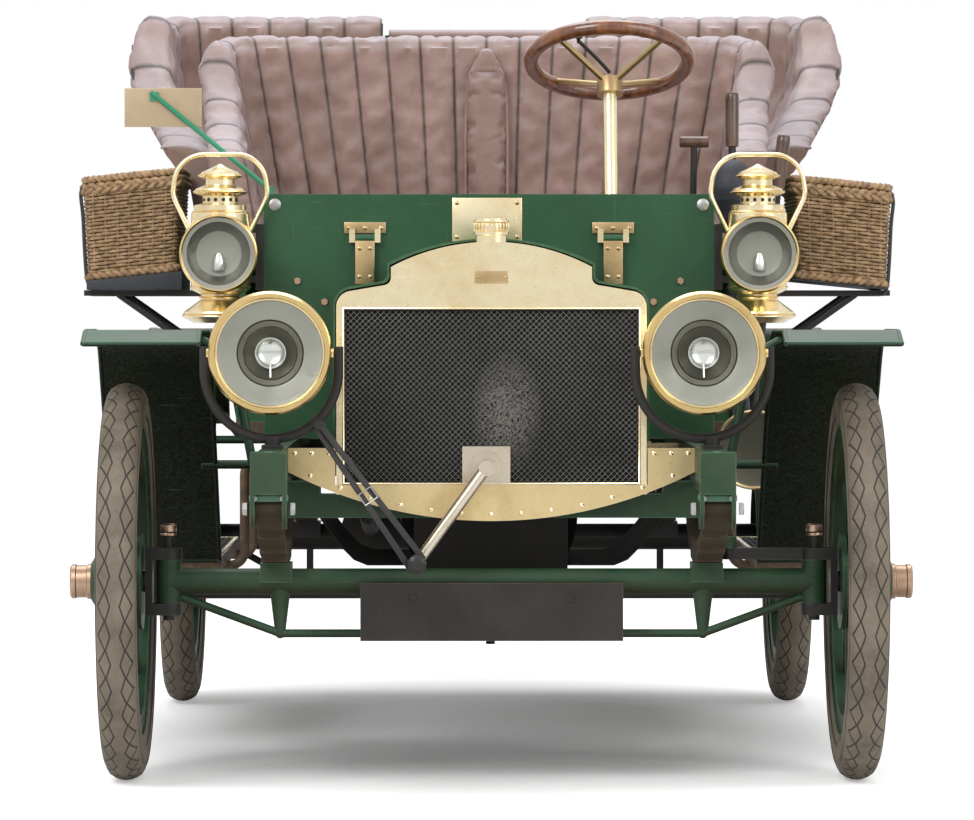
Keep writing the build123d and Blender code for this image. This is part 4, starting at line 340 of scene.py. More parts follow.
# %% Bare metal finishes
def bare_metal(name, bright, stained, rough, dents, worn=(0.9, 0.8, 0.6)):
    """Polished metal with clouds of tarnish, fine scratches and shallow dents."""
    material, tree, shader, place = new_finish(name)
    cloud, speck, scratch, rub = wear(tree, 1.3, 0.003, 0.3)
    tarnish = narrowed(tree, cloud, 0.48, 0.86)
    spots = narrowed(tree, speck, 0.62, 0.74, 0.5)
    colour = mixed(tree, tarnish, bright, stained)
    colour = mixed(tree, spots, colour, stained)
    colour = mixed(tree, scaled(tree, rub, 0.45), colour, worn)
    dent = node(tree, "ShaderNodeTexNoise", {"Vector": place, "Scale": 11.0, "Detail": 2.0}).outputs["Fac"]
    height = mixed(tree, 0.12, dent, scratch)
    feed(tree, shader, {"Base Color": colour,
                        "Metallic": 1.0,
                        "Roughness": scaled(tree, cloud, 0.3, rough - 0.15),
                        "Normal": bumped(tree, height, dents, 0.01)})
    return material


brass = bare_metal("polished_brass", (0.92, 0.80, 0.53), (0.66, 0.48, 0.23), 0.24, 0.14)
dull_brass = bare_metal("apron_brass", (0.70, 0.55, 0.29), (0.46, 0.32, 0.14), 0.34, 0.14)
lamp_brass = bare_metal("lamp_brass", (0.80, 0.58, 0.25), (0.42, 0.26, 0.09), 0.22, 0.08)
old_brass = bare_metal("aged_brass", (0.52, 0.38, 0.20), (0.26, 0.16, 0.07), 0.36, 0.10)
nickel = bare_metal("worn_nickel", (0.62, 0.55, 0.44), (0.34, 0.26, 0.17), 0.30, 0.12)
bronze = bare_metal("copper_bronze", (0.46, 0.31, 0.22), (0.25, 0.14, 0.08), 0.36, 0.14)
silver = bare_metal("silvered_reflector", (0.62, 0.62, 0.60), (0.40, 0.39, 0.36), 0.26, 0.05,
                    (0.8, 0.8, 0.8))
# The two greys below are darker copies of the silver; in the lamps they paint the reflection seen in the
# reflectors, mid grey and dark grey.
grey_silver = bare_metal("grey_painted_reflection", (0.33, 0.32, 0.28), (0.22, 0.21, 0.18), 0.48, 0.04,
                         (0.5, 0.5, 0.46))
dark_silver = bare_metal("shaded_reflector", (0.15, 0.14, 0.11), (0.08, 0.075, 0.06), 0.42, 0.04,
                         (0.3, 0.29, 0.25))
mesh_wire = bare_metal("mesh_wire", (0.12, 0.115, 0.105), (0.045, 0.042, 0.04), 0.5, 0.04, (0.4, 0.4, 0.4))
pewter = bare_metal("dull_aluminium", (0.46, 0.46, 0.45), (0.22, 0.22, 0.21), 0.42, 0.25, (0.7, 0.7, 0.7))
print("metals made")

# %% [markdown]
# ## Leather
# The seats are mauve-brown hide. A painted sheen, pale and bluish, lies on faces that look up, and painted
# shade makes the sewn seams nearly black. A fine cell pattern gives the grain, a coarser one the creases.
# The pleated pieces carry an attribute named "seam" that is 1 in a seam and 0 on a crown, so that painted
# shade follows the sewing.

# %% Leather finishes
def hide(name, crown, crease, painted_sheen, rough):
    """Leather with grain, creases, painted sheen on upward faces and painted seam shade from the piece's
    own attribute.
    """
    material, tree, shader, place = new_finish(name)
    cloud, speck, scratch, rub = wear(tree, 1.0)
    grain = node(tree, "ShaderNodeTexVoronoi", {"Vector": place, "Scale": 520.0},
                 feature="DISTANCE_TO_EDGE")
    grain = narrowed(tree, grain.outputs["Distance"], 0.0, 0.25)
    warp = node(tree, "ShaderNodeTexNoise",
                {"Vector": place, "Scale": 16.0, "Detail": 6.0, "Roughness": 0.7,
                                             "Distortion": 0.8}).outputs["Fac"]
    wrinkle = narrowed(tree, warp, 0.44, 0.50)
    seam = node(tree, "ShaderNodeAttribute", attribute_name="seam").outputs["Fac"]
    colour = mixed(tree, narrowed(tree, cloud, 0.32, 0.72), crown, crease)
    colour = mixed(tree, narrowed(tree, wrinkle, 1.0, 0.0, 0.22), colour, crease)
    facing = node(tree, "ShaderNodeSeparateXYZ",
                  {0: node(tree, "ShaderNodeNewGeometry").outputs["Normal"]}).outputs[2]
    # Faces that look up are mixed towards a pale bluish colour: a painted sheen.
    colour = mixed(tree, narrowed(tree, facing, 0.1, 0.9, 0.42), colour, painted_sheen)
    # Near a seam the colour goes nearly black: painted shade in the groove between channels.
    colour = mixed(tree, narrowed(tree, seam, 0.35, 1.0, 0.92), colour, (0.020, 0.012, 0.009))
    colour = mixed(tree, scaled(tree, scratch, 0.12), colour, (0.40, 0.33, 0.30))
    height = mixed(tree, 0.6, mixed(tree, 0.5, grain, wrinkle), warp)
    feed(tree, shader, {"Base Color": colour,
                        "Roughness": scaled(tree, cloud, 0.35, rough - 0.17),
                        "Sheen Weight": 0.2,
                        "Sheen Tint": (0.75, 0.78, 1.0, 1),
                        "Normal": bumped(tree, height, 0.32, 0.004)})
    return material


seat_leather = hide("seat_leather", (0.345, 0.222, 0.180), (0.195, 0.115, 0.088), (0.44, 0.43, 0.50), 0.42)
strap_leather = hide("strap_leather", (0.020, 0.016, 0.013), (0.009, 0.008, 0.007), (0.03, 0.027, 0.025),
                     0.55)
print("leathers made")

# %% [markdown]
# ## Cane, rubber and wood
# Peeled cane differs from strand to strand and darkens with age. Tyres of the period are grey-brown and
# dusty, and their tread grooves are darkened as painted shade. The steering rim is varnished mahogany whose
# grain runs round the ring, and the floor is plain planking. Noise textures stretched along the grain give
# the wood its lines.

# %% Cane, rubber and wood finishes
def cane(name, pale, dark):
    """Willow strands with streaks along them and dark gaps."""
    material, tree, shader, place = new_finish(name)
    cloud, speck, scratch, rub = wear(tree, 2.0)
    strand = node(tree, "ShaderNodeTexNoise",
                  {"Vector": place, "Scale": 70.0, "Detail": 5.0}).outputs["Fac"]
    colour = mixed(tree, narrowed(tree, strand, 0.34, 0.66), dark, pale)
    colour = mixed(tree, narrowed(tree, cloud, 0.5, 0.75, 0.5), colour, dark)
    feed(tree, shader, {"Base Color": colour,
                        "Roughness": scaled(tree, strand, 0.3, 0.4),
                        "Normal": bumped(tree, speck, 0.35, 0.002)})
    return material


def rubbery(name, deep, dusty, dust_amount, rough):
    """Aged rubber with dust in clouds and tread grooves darkened as painted shade."""
    material, tree, shader, place = new_finish(name)
    cloud, speck, scratch, rub = wear(tree, 1.6)
    colour = mixed(tree, narrowed(tree, cloud, 0.3, 0.7, dust_amount), deep, dusty)
    colour = mixed(tree, narrowed(tree, speck, 0.5, 0.75, 0.5), colour, dusty)
    split = node(tree, "ShaderNodeSeparateXYZ",
                 {0: node(tree, "ShaderNodeUVMap", uv_map="tread").outputs[0]})
    across = maths(tree, "ABSOLUTE", split.outputs[1])
    nearest = None
    for shift, low, swing in ((0.0, 9.0, 18.0), (0.5, 19.0, 26.0)):
        along = maths(tree, "PINGPONG", scaled(tree, split.outputs[0], 1.0, shift), 0.5)
        off = maths(tree, "SUBTRACT", across, scaled(tree, along, swing, low))
        off = maths(tree, "ABSOLUTE", off)
        nearest = off if nearest is None else maths(tree, "MINIMUM", nearest, off)
    groove_and_shade = narrowed(tree, nearest, 2.0, 1.1)
    # Grooves go nearly black: painted shade in the tread.
    colour = mixed(tree, scaled(tree, groove_and_shade, 0.9), colour, (0.014, 0.011, 0.008))
    height = maths(tree, "SUBTRACT", mixed(tree, 0.5, cloud, speck), groove_and_shade)
    feed(tree, shader, {"Base Color": colour,
                        "Roughness": scaled(tree, speck, 0.3, rough - 0.15),
                        "Normal": bumped(tree, height, 0.35, 0.003)})
    return material


def timber(name, light, dark, stretch, rough, coat):
    """Wood whose grain runs along one axis."""
    material, tree, shader, place = new_finish(name)
    cloud, speck, scratch, rub = wear(tree, 1.0, 0.004, 0.7)
    along = node(tree, "ShaderNodeMapping", {"Vector": place, "Scale": stretch}).outputs[0]
    bands = node(tree, "ShaderNodeTexNoise",
                 {"Vector": along, "Scale": 1.0, "Detail": 7.0, "Distortion": 0.6}).outputs["Fac"]
    colour = mixed(tree, narrowed(tree, bands, 0.36, 0.64), dark, light)
    colour = mixed(tree, scaled(tree, rub, 0.3), colour, light)
    colour = mixed(tree, narrowed(tree, cloud, 0.55, 0.8, 0.5), colour, dark)
    feed(tree, shader, {"Base Color": colour,
                        "Roughness": scaled(tree, bands, 0.3, rough - 0.15),
                        "Coat Weight": coat,
                        "Coat Roughness": 0.08,
                        "Normal": bumped(tree, bands, 0.15, 0.002)})
    return material


wicker = cane("willow_cane", (0.44, 0.285, 0.150), (0.185, 0.108, 0.052))
tyre_rubber = rubbery("tyre_rubber", (0.085, 0.069, 0.051), (0.225, 0.185, 0.138), 0.8, 0.85)
black_rubber = rubbery("bulb_rubber", (0.012, 0.014, 0.020), (0.045, 0.047, 0.055), 0.4, 0.6)
rim_wood = timber("rim_mahogany", (0.230, 0.078, 0.028), (0.095, 0.027, 0.010), (60, 60, 9), 0.32, 0.7)
floor_wood = timber("floor_planks", (0.120, 0.075, 0.040), (0.060, 0.036, 0.018), (45, 3, 45), 0.6, 0.0)
lever_wood = timber("lever_grip_wood", (0.120, 0.060, 0.032), (0.050, 0.024, 0.012), (70, 70, 10), 0.4, 0.5)
print("cane, rubber and wood made")

# %% [markdown]
# ## Glass and the radiator core
# Lamp glass is thin and clear with a faint dusting. The core behind the mesh is black with a pale worn
# patch above the starting handle, so its mask is a soft ball placed in object coordinates.

# %% Glass and core finishes
glass, tree, shader, place = new_finish("lamp_glass")
cloud, speck, scratch, rub = wear(tree, 2.0)
feed(tree, shader, {"Base Color": (0.93, 0.95, 0.94, 1),
                    "Transmission Weight": 1.0,
                    "IOR": 1.15,
                    "Roughness": narrowed(tree, speck, 0.4, 0.8, 0.16)})

core_black, tree, shader, place = new_finish("core_black")
cloud, speck, scratch, rub = wear(tree, 2.0)
upright = node(tree, "ShaderNodeMapping", {"Vector": place, "Rotation": (pi / 2, 0, 0)}).outputs[0]
cells = node(tree, "ShaderNodeTexBrick", {"Vector": upright, "Scale": 90.0, "Mortar Size": 0.06,
                                          "Color1": (0.004, 0.004, 0.004, 1),
                                          "Color2": (0.007, 0.007, 0.007, 1),
                                          "Mortar": (0.016, 0.015, 0.014, 1)})
rubbed_place = node(tree, "ShaderNodeVectorMath", {0: place, 1: tuple(at(30, 8, 705))},
                    operation="SUBTRACT").outputs[0]
squeezed = node(tree, "ShaderNodeVectorMath", {0: rubbed_place, 1: (1.7, 1, 1)},
                operation="MULTIPLY").outputs[0]
away = node(tree, "ShaderNodeVectorMath", {0: squeezed}, operation="LENGTH").outputs["Value"]
worn = maths(tree, "MULTIPLY", narrowed(tree, away, 0.12, 0.02), narrowed(tree, speck, 0.38, 0.6))
colour = mixed(tree, scaled(tree, worn, 0.75), cells.outputs["Color"], (0.30, 0.28, 0.25))
feed(tree, shader, {"Base Color": colour,
                    "Roughness": scaled(tree, cloud, 0.3, 0.5),
                    "Specular IOR Level": 0.08,
                    "Normal": bumped(tree, cells.outputs["Fac"], 0.6, 0.003)})
print("glass and core made")

# %% [markdown]
# ## Finishes on the solid pieces
# Where a solid's shape is already right it stays, and only its material changes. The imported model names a
# material slot on every piece, so one table from slot to finish dresses them all. A few pieces differ
# from their slot.

# %% Dress the solid pieces
FINISH_OF_SLOT = {
    "body_green": body_green, "fender_green": fender_green, "chassis_green": chassis_green,
    "black_iron": black_iron, "spring_steel": spring_steel, "engine_iron": engine_iron, "brass": brass,
    "core_black": core_black, "nickel": nickel, "glass": glass, "leather": seat_leather,
    "strap_leather": strap_leather, "floor_wood": floor_wood, "rim_wood": rim_wood, "wicker": wicker,
    "rubber": black_rubber, "tyre": tyre_rubber, "plate_black": plate_black, "bronze": bronze,
}
slot_of = {}
for name, piece in nodes.items():
    for slot in piece.material_slots:
        slot_of[name] = slot.material.name.split(".")[0]
        slot.material = FINISH_OF_SLOT[slot_of[name]]
for name, finish in (("radiator_apron", dull_brass), ("steering_spider", old_brass)):
    for slot in nodes[name].material_slots:
        slot.material = finish
print({slot: sum(1 for value in slot_of.values() if value == slot) for slot in FINISH_OF_SLOT})

# %% [markdown]
# ## Modelling helpers
# Every new piece is made the way one would by hand: add a primitive, shape it, apply its place, give it a
# finish, and say which body of the car it rides on. The helpers below wrap those last steps, a turned
# shape that grows ring by ring, a bent wire, and copies of one small fastener.

# %% Modelling helpers
SLOT_OF_FINISH = {finish.name: slot for slot, finish in FINISH_OF_SLOT.items()}
for slot, finishes in (("brass", (lamp_brass, old_brass, dull_brass)), ("rim_wood", (lever_wood,)),
                       ("nickel", (silver, grey_silver, dark_silver, mesh_wire, pewter))):
    SLOT_OF_FINISH.update({finish.name: slot for finish in finishes})


def alone(piece):
    """Select one piece and make it active."""
    if bpy.context.object and bpy.context.object.mode != "OBJECT":
        bpy.ops.object.mode_set(mode="OBJECT")
    bpy.ops.object.select_all(action="DESELECT")
    piece.select_set(True)
    bpy.context.view_layer.objects.active = piece


def close_mesh(piece, merge=0.0002):
    """Merge doubled points and turn the faces outwards."""
    alone(piece)
    bpy.ops.object.mode_set(mode="EDIT")
    bpy.ops.mesh.select_all(action="SELECT")
    bpy.ops.mesh.remove_doubles(threshold=merge)
    bpy.ops.mesh.normals_make_consistent(inside=False)
    bpy.ops.object.mode_set(mode="OBJECT")


def apply_modifier(piece, kind, **settings):
    """Add one modifier, set it and apply it."""
    alone(piece)
    modifier = piece.modifiers.new(kind.lower(), kind)
    for key, value in settings.items():
        setattr(modifier, key, value)
    bpy.ops.object.modifier_apply(modifier=modifier.name)


def settle(piece, name, finish, body="chassis", angle=40):
    """Move a piece's place into its mesh, name it, finish it and let it ride."""
    alone(piece)
    bpy.ops.object.transform_apply(location=True, rotation=True, scale=True)
    piece.name = piece.data.name = name
    piece.data.materials.clear()
    piece.data.materials.append(finish)
    bpy.ops.object.shade_smooth_by_angle(angle=radians(angle))
    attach(piece, body)
    return piece


def joined(pieces):
    """Join pieces into the first one."""
    alone(pieces[0])
    for piece in pieces[1:]:
        piece.select_set(True)
    if len(pieces) > 1:
        bpy.ops.object.join()
    return pieces[0]


def copied(piece, shift=(0, 0, 0), mirror_x=False):
    """Copy of a piece with its own mesh, moved in metres or mirrored across the car."""
    copy = piece.copy()
    copy.data = piece.data.copy()
    bpy.context.scene.collection.objects.link(copy)
    if mirror_x:
        copy.data.transform(Matrix.Scale(-1, 4, (1, 0, 0)))
        copy.data.flip_normals()
    copy.data.transform(Matrix.Translation(shift))
    return copy


def aimed(piece, centre, axis):
    """Turn a piece that was made along +Z at the origin to an axis, and place it."""
    turn = Vector(UP).rotation_difference(Vector(axis)).to_matrix().to_4x4()
    piece.data.transform(Matrix.Translation(centre) @ turn)
    return piece


def ring_by_ring(profile, sides=48):
    """Turned shape along +Z: a circle extruded and scaled along (radius, height) in millimetres."""
    alone(floor)
    first_radius, first_height = profile[0]
    bpy.ops.mesh.primitive_circle_add(vertices=sides, radius=max(first_radius, 0.05) * MM,
                                      location=(0, 0, 0))
    piece = bpy.context.object
    bpy.ops.object.mode_set(mode="EDIT")
    bpy.ops.mesh.select_all(action="SELECT")
    bpy.ops.transform.translate(value=(0, 0, first_height * MM))
    for (radius, height), (next_radius, next_height) in zip(profile, profile[1:]):
        climb = (0, 0, (next_height - height) * MM)
        bpy.ops.mesh.extrude_region_move(TRANSFORM_OT_translate={"value": climb})
        size = max(next_radius, 0.05) / max(radius, 0.05)
        bpy.ops.transform.resize(value=(size, size, 1), center_override=(0, 0, next_height * MM))
    bpy.ops.object.mode_set(mode="OBJECT")
    close_mesh(piece)
    return piece


def lathe(profile, sides, centre, axis):
    """Turned shape placed along an axis."""
    return aimed(ring_by_ring(profile, sides), centre, axis)


def strands(runs, radius, closed=False, sides=3, smooth=False):
    """Many round strands along runs of points in metres, as one mesh."""
    curve = bpy.data.curves.new("strands", "CURVE")
    curve.dimensions = "3D"
    curve.bevel_depth = radius * MM
    curve.bevel_resolution = sides
    curve.resolution_u = 6
    curve.use_fill_caps = True
    for run in runs:
        spline = curve.splines.new("NURBS" if smooth else "POLY")
        spline.points.add(len(run) - 1)
        for knot, place in zip(spline.points, run):
            knot.co = (*place, 1)
        if smooth:
            spline.order_u = 4 if len(run) > 3 else 3
            spline.use_endpoint_u = not closed
        spline.use_cyclic_u = closed
    piece = bpy.data.objects.new("strands", curve)
    bpy.context.scene.collection.objects.link(piece)
    alone(piece)
    bpy.ops.object.convert(target="MESH")
    return bpy.context.object


def bent_wire(points, radius, closed=False, sides=3, smooth=True):
    """One round wire along points in metres."""
    return strands([points], radius, closed, sides, smooth)


def fasteners(places, axis, radius, height, sides=10):
    """Domed rivets or, with six sides, bolt heads at places in metres, facing along an axis."""
    dome = [(0, height), (radius * 0.6, height * 0.9), (radius * 0.95, height * 0.45), (radius, 0)]
    bolt = [(0, height), (radius * 0.85, height), (radius, height * 0.8), (radius, 0)]
    first = ring_by_ring((bolt if sides == 6 else dome)[::-1], sides)
    pieces = [aimed(copied(first), place, axis) for place in places]
    bpy.data.objects.remove(first)
    return joined(pieces)


def plate(xs, stations, heights, bevel=1.5):
    """Bevelled plate between X values, stations and heights in millimetres."""
    low = at(min(xs), min(stations), min(heights))
    high = at(max(xs), max(stations), max(heights))
    alone(floor)
    bpy.ops.mesh.primitive_cube_add(size=1, location=(low + high) / 2)
    piece = bpy.context.object
    piece.scale = high - low
    bpy.ops.object.transform_apply(location=True, rotation=True, scale=True)
    apply_modifier(piece, "BEVEL", width=bevel * MM, segments=3)
    return piece


print("modelling helpers ready")

# %% [markdown]
# ## Pleated upholstery
# The seat backs are lined with hide sewn into upright channels about 70 mm wide, each stuffed until it
# stands out, and turned over the top edge as a roll. One sheet follows the tub: columns run round its
# plan, rows run up the inside, over the edge and down the outside. The channels are set in the sheet,
# then a cloth simulation held along the seams swells it and gives it its small folds.

# %% Tub shapes
SEAT_TUB = {
    "levels": ((930, 540, 1640), (1500, 634, 1656)), "corner": 150, "front": 1190,
    "sweep": ((1185, 1235), (1500, 1501)), "round": (532, 1400, 100),
    "seam_inset": 66, "low": 1050, "pitch": 69,
}
TONNEAU_TUB = {
    "levels": ((665, 560, 2530), (1180, 655, 2530), (1240, 697, 2530), (1300, 737, 2530), (1360, 774, 2530),
               (1420, 801, 2530), (1480, 809, 2530), (1540, 812, 2530), (1592, 815, 2530)), "corner": 190,
    "front": 1668, "sweep": ((1663, 1260), (2068, 1593)), "round": (716, 1497, 95),
    "seam_inset": 84, "low": 1010, "pitch": 78,
}
WALL_THICKNESS = 36
EDGE_OVERHANG = 7
ROLL_DROP = 15
ROLL_RISE = 26


def tub_plan(tub, t, inset, z):
    """X and station on a tub's plan; t runs 0 to 5 from right front round the back to left front."""
    levels = tub["levels"]
    lower = max([level for level in levels[:-1] if level[0] <= z] or levels[:1])
    upper = levels[levels.index(lower) + 1]
    part = (z - lower[0]) / (upper[0] - lower[0])
    x = lower[1] + (upper[1] - lower[1]) * part - inset
    far = lower[2] + (upper[2] - lower[2]) * part - inset
    radius = max(tub["corner"] - inset, 8)
    run = far - radius - tub["front"]
    side = -1 if t < 2.5 else 1
    along = t if t < 2.5 else 5 - t
    if along < 1:
        return side * x, tub["front"] + run * along
    if along < 2:
        turn = (along - 1) * pi / 2
        return side * (x - radius + radius * cos(turn)), far - radius + radius * sin(turn)
    return side * (x - radius) * (1 - (along - 2) / 0.5), far


def sweep_height(sweep, behind):
    """Height on the arc through the sweep's two ends and a point that hangs below its chord."""
    first, last = (Vector(end) for end in sweep)
    hang = Vector((first.x * 0.38 + last.x * 0.62, first.y * 0.62 + last.y * 0.38))
    chord, sag = last - first, hang - first
    twice_area = 2 * (chord.x * sag.y - chord.y * sag.x)
    centre = first + Vector((sag.y * chord.length_squared - chord.y * sag.length_squared,
                             chord.x * sag.length_squared - sag.x * chord.length_squared)) / twice_area
    place = min(max(behind, first.x), last.x)
    return centre.y - ((first - centre).length_squared - (place - centre.x) ** 2) ** 0.5


def edge_height(tub, t, inset=0):
    """Height of the tub's upper edge, which sweeps up from the front and rounds at the corners."""
    x, behind = tub_plan(tub, t, min(inset, WALL_THICKNESS), tub["levels"][-1][0] - 60)
    centre_x, centre_z, radius = tub["round"]
    over = min(max(abs(x) - centre_x, 0), radius)
    return min(sweep_height(tub["sweep"], behind), centre_z + (radius ** 2 - over ** 2) ** 0.5)


def section_row(tub, t, row, face_rows, roll_rows):
    """Inset, height and outward direction of one row of the sheet, as (inset, z, along inset, along z)."""
    inner = tub["seam_inset"]
    if row <= face_rows:
        top = edge_height(tub, t, inner)
        return inner, tub["low"] + (top - ROLL_DROP - tub["low"]) * row / face_rows, 1, 0
    half = (inner + EDGE_OVERHANG) / 2
    if row <= face_rows + roll_rows:
        turn = pi * (row - face_rows) / roll_rows
        square = (abs(cos(turn)) ** 3 + abs(sin(turn)) ** 3) ** (-1 / 3)
        inset = inner - half + half * cos(turn) * square
        top = edge_height(tub, t, max(inset, 0))
        return inset, top - ROLL_DROP + ROLL_RISE * sin(turn) * square, cos(turn), sin(turn)
    return -EDGE_OVERHANG, edge_height(tub, t) - ROLL_DROP - 12 * (row - face_rows - roll_rows), -1, 0


print("seat edge at its back:", round(edge_height(SEAT_TUB, 2.5)), "mm")

# %% [markdown]
# ## Stuffing
# Stuffed hide is tight between its seams. A short cloth simulation with inner pressure gives that swell,
# held at the sewn points, and a cap keeps every point near its place.

# %% Swelling by cloth simulation
def swell(piece, sewn, pressure, cap, frames=20):
    """Inflate a piece with cloth pressure, held at its sewn points, and cap how far a point moves."""
    start = [vertex.co.copy() for vertex in piece.data.vertices]
    held = piece.vertex_groups.new(name="sewn")
    held.add(sewn, 1.0, "REPLACE")
    alone(piece)
    cloth = piece.modifiers.new("stuffing", "CLOTH")
    cloth.settings.quality = 4
    cloth.settings.mass = 0.3
    cloth.settings.bending_stiffness = 1.5
    cloth.settings.use_pressure = True
    cloth.settings.uniform_pressure_force = pressure
    cloth.settings.shrink_min = -0.05
    cloth.settings.vertex_group_mass = "sewn"
    cloth.settings.effector_weights.gravity = 0
    cloth.point_cache.frame_start = 1
    cloth.point_cache.frame_end = frames
    for step in range(1, frames + 1):
        bpy.context.scene.frame_set(step)
    bpy.ops.object.modifier_apply(modifier="stuffing")
    bpy.context.scene.frame_set(1)
    for vertex, rest in zip(piece.data.vertices, start):
        move = vertex.co - rest
        if move.length > cap * MM:
            vertex.co = rest + move.normalized() * cap * MM
    piece.vertex_groups.clear()


def mark_seams(piece, values):
    """Store how near each point is to a seam."""
    seam = piece.data.attributes.new("seam", "FLOAT", "POINT")
    seam.data.foreach_set("value", values)


print("simulation", "on")

# %% [markdown]
# ## Lining sheets
# The front seat takes one sheet all round. The tonneau takes two, one on each side of the rear door, and
# a dark binding covers the outer edge.

# %% Lining sheet
FACE_ROWS, ROLL_ROWS, TAIL_ROWS, NOSE_COLUMNS = 30, 14, 3, 5
COLUMNS_PER_PLEAT = 8
PLEAT_DEPTH = 8


def pleated_lining(tub, ends):
    """Sheet of sewn channels inside a tub between two plan places, with a rounded nose at a front end."""
    steps = [ends[0] + (ends[1] - ends[0]) * index / 600 for index in range(601)]
    plan = [Vector((*tub_plan(tub, t, tub["seam_inset"], 1300), 0)) for t in steps]
    lengths = [0.0]
    for here, there in zip(plan, plan[1:]):
        lengths.append(lengths[-1] + (there - here).length)
    pleats = round(lengths[-1] / tub["pitch"])
    columns = pleats * COLUMNS_PER_PLEAT
    rows = FACE_ROWS + ROLL_ROWS + TAIL_ROWS
    nose = [NOSE_COLUMNS if end in (0, 5) else 0 for end in ends]
    count = columns + sum(nose)
    alone(floor)
    bpy.ops.mesh.primitive_grid_add(x_subdivisions=count, y_subdivisions=rows, size=2)
    piece = bpy.context.object
    seams, sewn = [], []
    for vertex in piece.data.vertices:
        column = round((vertex.co.x + 1) / 2 * count) - nose[0]
        row = round((vertex.co.y + 1) / 2 * rows)
        reach = min(max(column, 0), columns) / columns * lengths[-1]
        low, high = 0, 600
        while high - low > 1:
            middle = (low + high) // 2
            low, high = (middle, high) if lengths[middle] <= reach else (low, middle)
        part = (reach - lengths[low]) / max(lengths[high] - lengths[low], 1e-6)
        t = steps[low] + (steps[high] - steps[low]) * min(max(part, 0), 1)
        inset, z, along_inset, along_z = section_row(tub, t, row, FACE_ROWS, ROLL_ROWS)
        beyond = max(-column, column - columns, 0)
        phase = (min(max(column, 0), columns) % COLUMNS_PER_PLEAT) / COLUMNS_PER_PLEAT
        bulge = (4 * phase * (1 - phase)) ** 0.6
        depth = PLEAT_DEPTH * (1 if row <= FACE_ROWS else 0.35)
        fold = noise.noise(Vector((reach * 0.012, z * 0.03, 3.7))) * 2.4
        fold += noise.noise(Vector((reach * 0.045, z * 0.022, 9.1))) * 1.5
        swollen = bulge * depth + fold * (0.3 + 0.7 * bulge)
        inset += along_inset * swollen
        z += along_z * swollen
        if beyond:
            turn = pi / 2 * beyond / NOSE_COLUMNS
            inset = -EDGE_OVERHANG + (inset + EDGE_OVERHANG) * cos(turn)
        x, behind = tub_plan(tub, t, inset, z)
        if beyond:
            behind -= 16 * sin(turn)
        vertex.co = at(x, behind, z)
        # Closeness to a seam, which the leather finish turns into painted shade.
        near_seam = min(phase, 1 - phase) * tub["pitch"]
        seams.append(exp(-(near_seam / 4.2) ** 2) if not beyond else 0.0)
        on_seam = column % COLUMNS_PER_PLEAT == 0 and not beyond
        if on_seam or row in (0, rows) or row > FACE_ROWS + ROLL_ROWS:
            sewn.append(vertex.index)
    mark_seams(piece, seams)
    swell(piece, sewn, 3.0, 2.5)
    middle = at(0, tub["front"] + 250, 1300)
    if sum((middle - face.center).dot(face.normal) for face in piece.data.polygons) < 0:
        piece.data.flip_normals()
    apply_modifier(piece, "SOLIDIFY", thickness=0.006, offset=-1)
    return piece


seat_lining = settle(pleated_lining(SEAT_TUB, (0, 5)), "front_seat_lining", seat_leather, angle=60)
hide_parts("front_seat_trim")
print("front seat lining:", len(seat_lining.data.vertices), "points")

DOORWAY_T = 2 + 0.5 * (1 - 250 / 640)
right_lining = pleated_lining(TONNEAU_TUB, (0, DOORWAY_T))
settle(right_lining, "tonneau_lining_right", seat_leather, angle=60)
left_lining = settle(copied(right_lining, mirror_x=True), "tonneau_lining_left", seat_leather, angle=60)
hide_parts("tonneau_trim")
binding = []
for index in range(61):
    t = DOORWAY_T * index / 60
    z = edge_height(TONNEAU_TUB, t) - 9
    binding.append(at(*tub_plan(TONNEAU_TUB, t, -1, z), z))
right_binding = settle(bent_wire(binding, 8, sides=4), "tonneau_binding_right", strap_leather)
settle(copied(right_binding, mirror_x=True), "tonneau_binding_left", strap_leather)
print("tonneau linings:", len(right_lining.data.vertices), "points each")

# %% [markdown]
# ## Radiator
# The core is fronted by woven wire laid cornerwise. One wire is a thin cylinder, an array repeats it, a
# second copy leans the other way, and the four sides of the opening trim both with bisect. A brass bead
# frames the opening, and the shell gets its blank badge plate, a ribbed filler cap and rivets along the
# apron's curve.

# %% Radiator mesh
OPENING_X, OPENING_LOW, OPENING_HIGH = 284.5, 568.5, 905.5
WIRE_PITCH, WIRE_RADIUS, WIRE_COUNT = 11.5, 0.5, 90
leaning = []
for lean in SIDES:
    alone(floor)
    bpy.ops.mesh.primitive_cylinder_add(vertices=6, radius=WIRE_RADIUS * MM, depth=1.0, location=(0, 0, 0))
    wire = bpy.context.object
    wire.data.transform(Matrix.Rotation(lean * pi / 4, 4, "Y"))
    apply_modifier(wire, "ARRAY", count=WIRE_COUNT, use_relative_offset=False, use_constant_offset=True,
                   constant_offset_displace=(WIRE_PITCH * MM, 0, 0))
    first = at(-WIRE_COUNT / 2 * WIRE_PITCH, 4 + lean * 0.7, (OPENING_LOW + OPENING_HIGH) / 2)
    wire.data.transform(Matrix.Translation(first))
    leaning.append(wire)
radiator_mesh = joined(leaning)
alone(radiator_mesh)
bpy.ops.object.mode_set(mode="EDIT")
for spot, facing in ((at(OPENING_X, 0, 0), (1, 0, 0)), (at(-OPENING_X, 0, 0), (-1, 0, 0)),
                     (at(0, 0, OPENING_HIGH), UP), (at(0, 0, OPENING_LOW), (0, 0, -1))):
    bpy.ops.mesh.select_all(action="SELECT")
    bpy.ops.mesh.bisect(plane_co=spot, plane_no=facing, clear_outer=True, use_fill=True)
bpy.ops.object.mode_set(mode="OBJECT")
settle(radiator_mesh, "radiator_mesh", mesh_wire)
print("radiator mesh:", len(radiator_mesh.data.polygons), "faces")

# %% [markdown]
# ## Radiator trim
# The bead, the blank badge plate, the filler cap and the rivets are small turned or bevelled pieces.

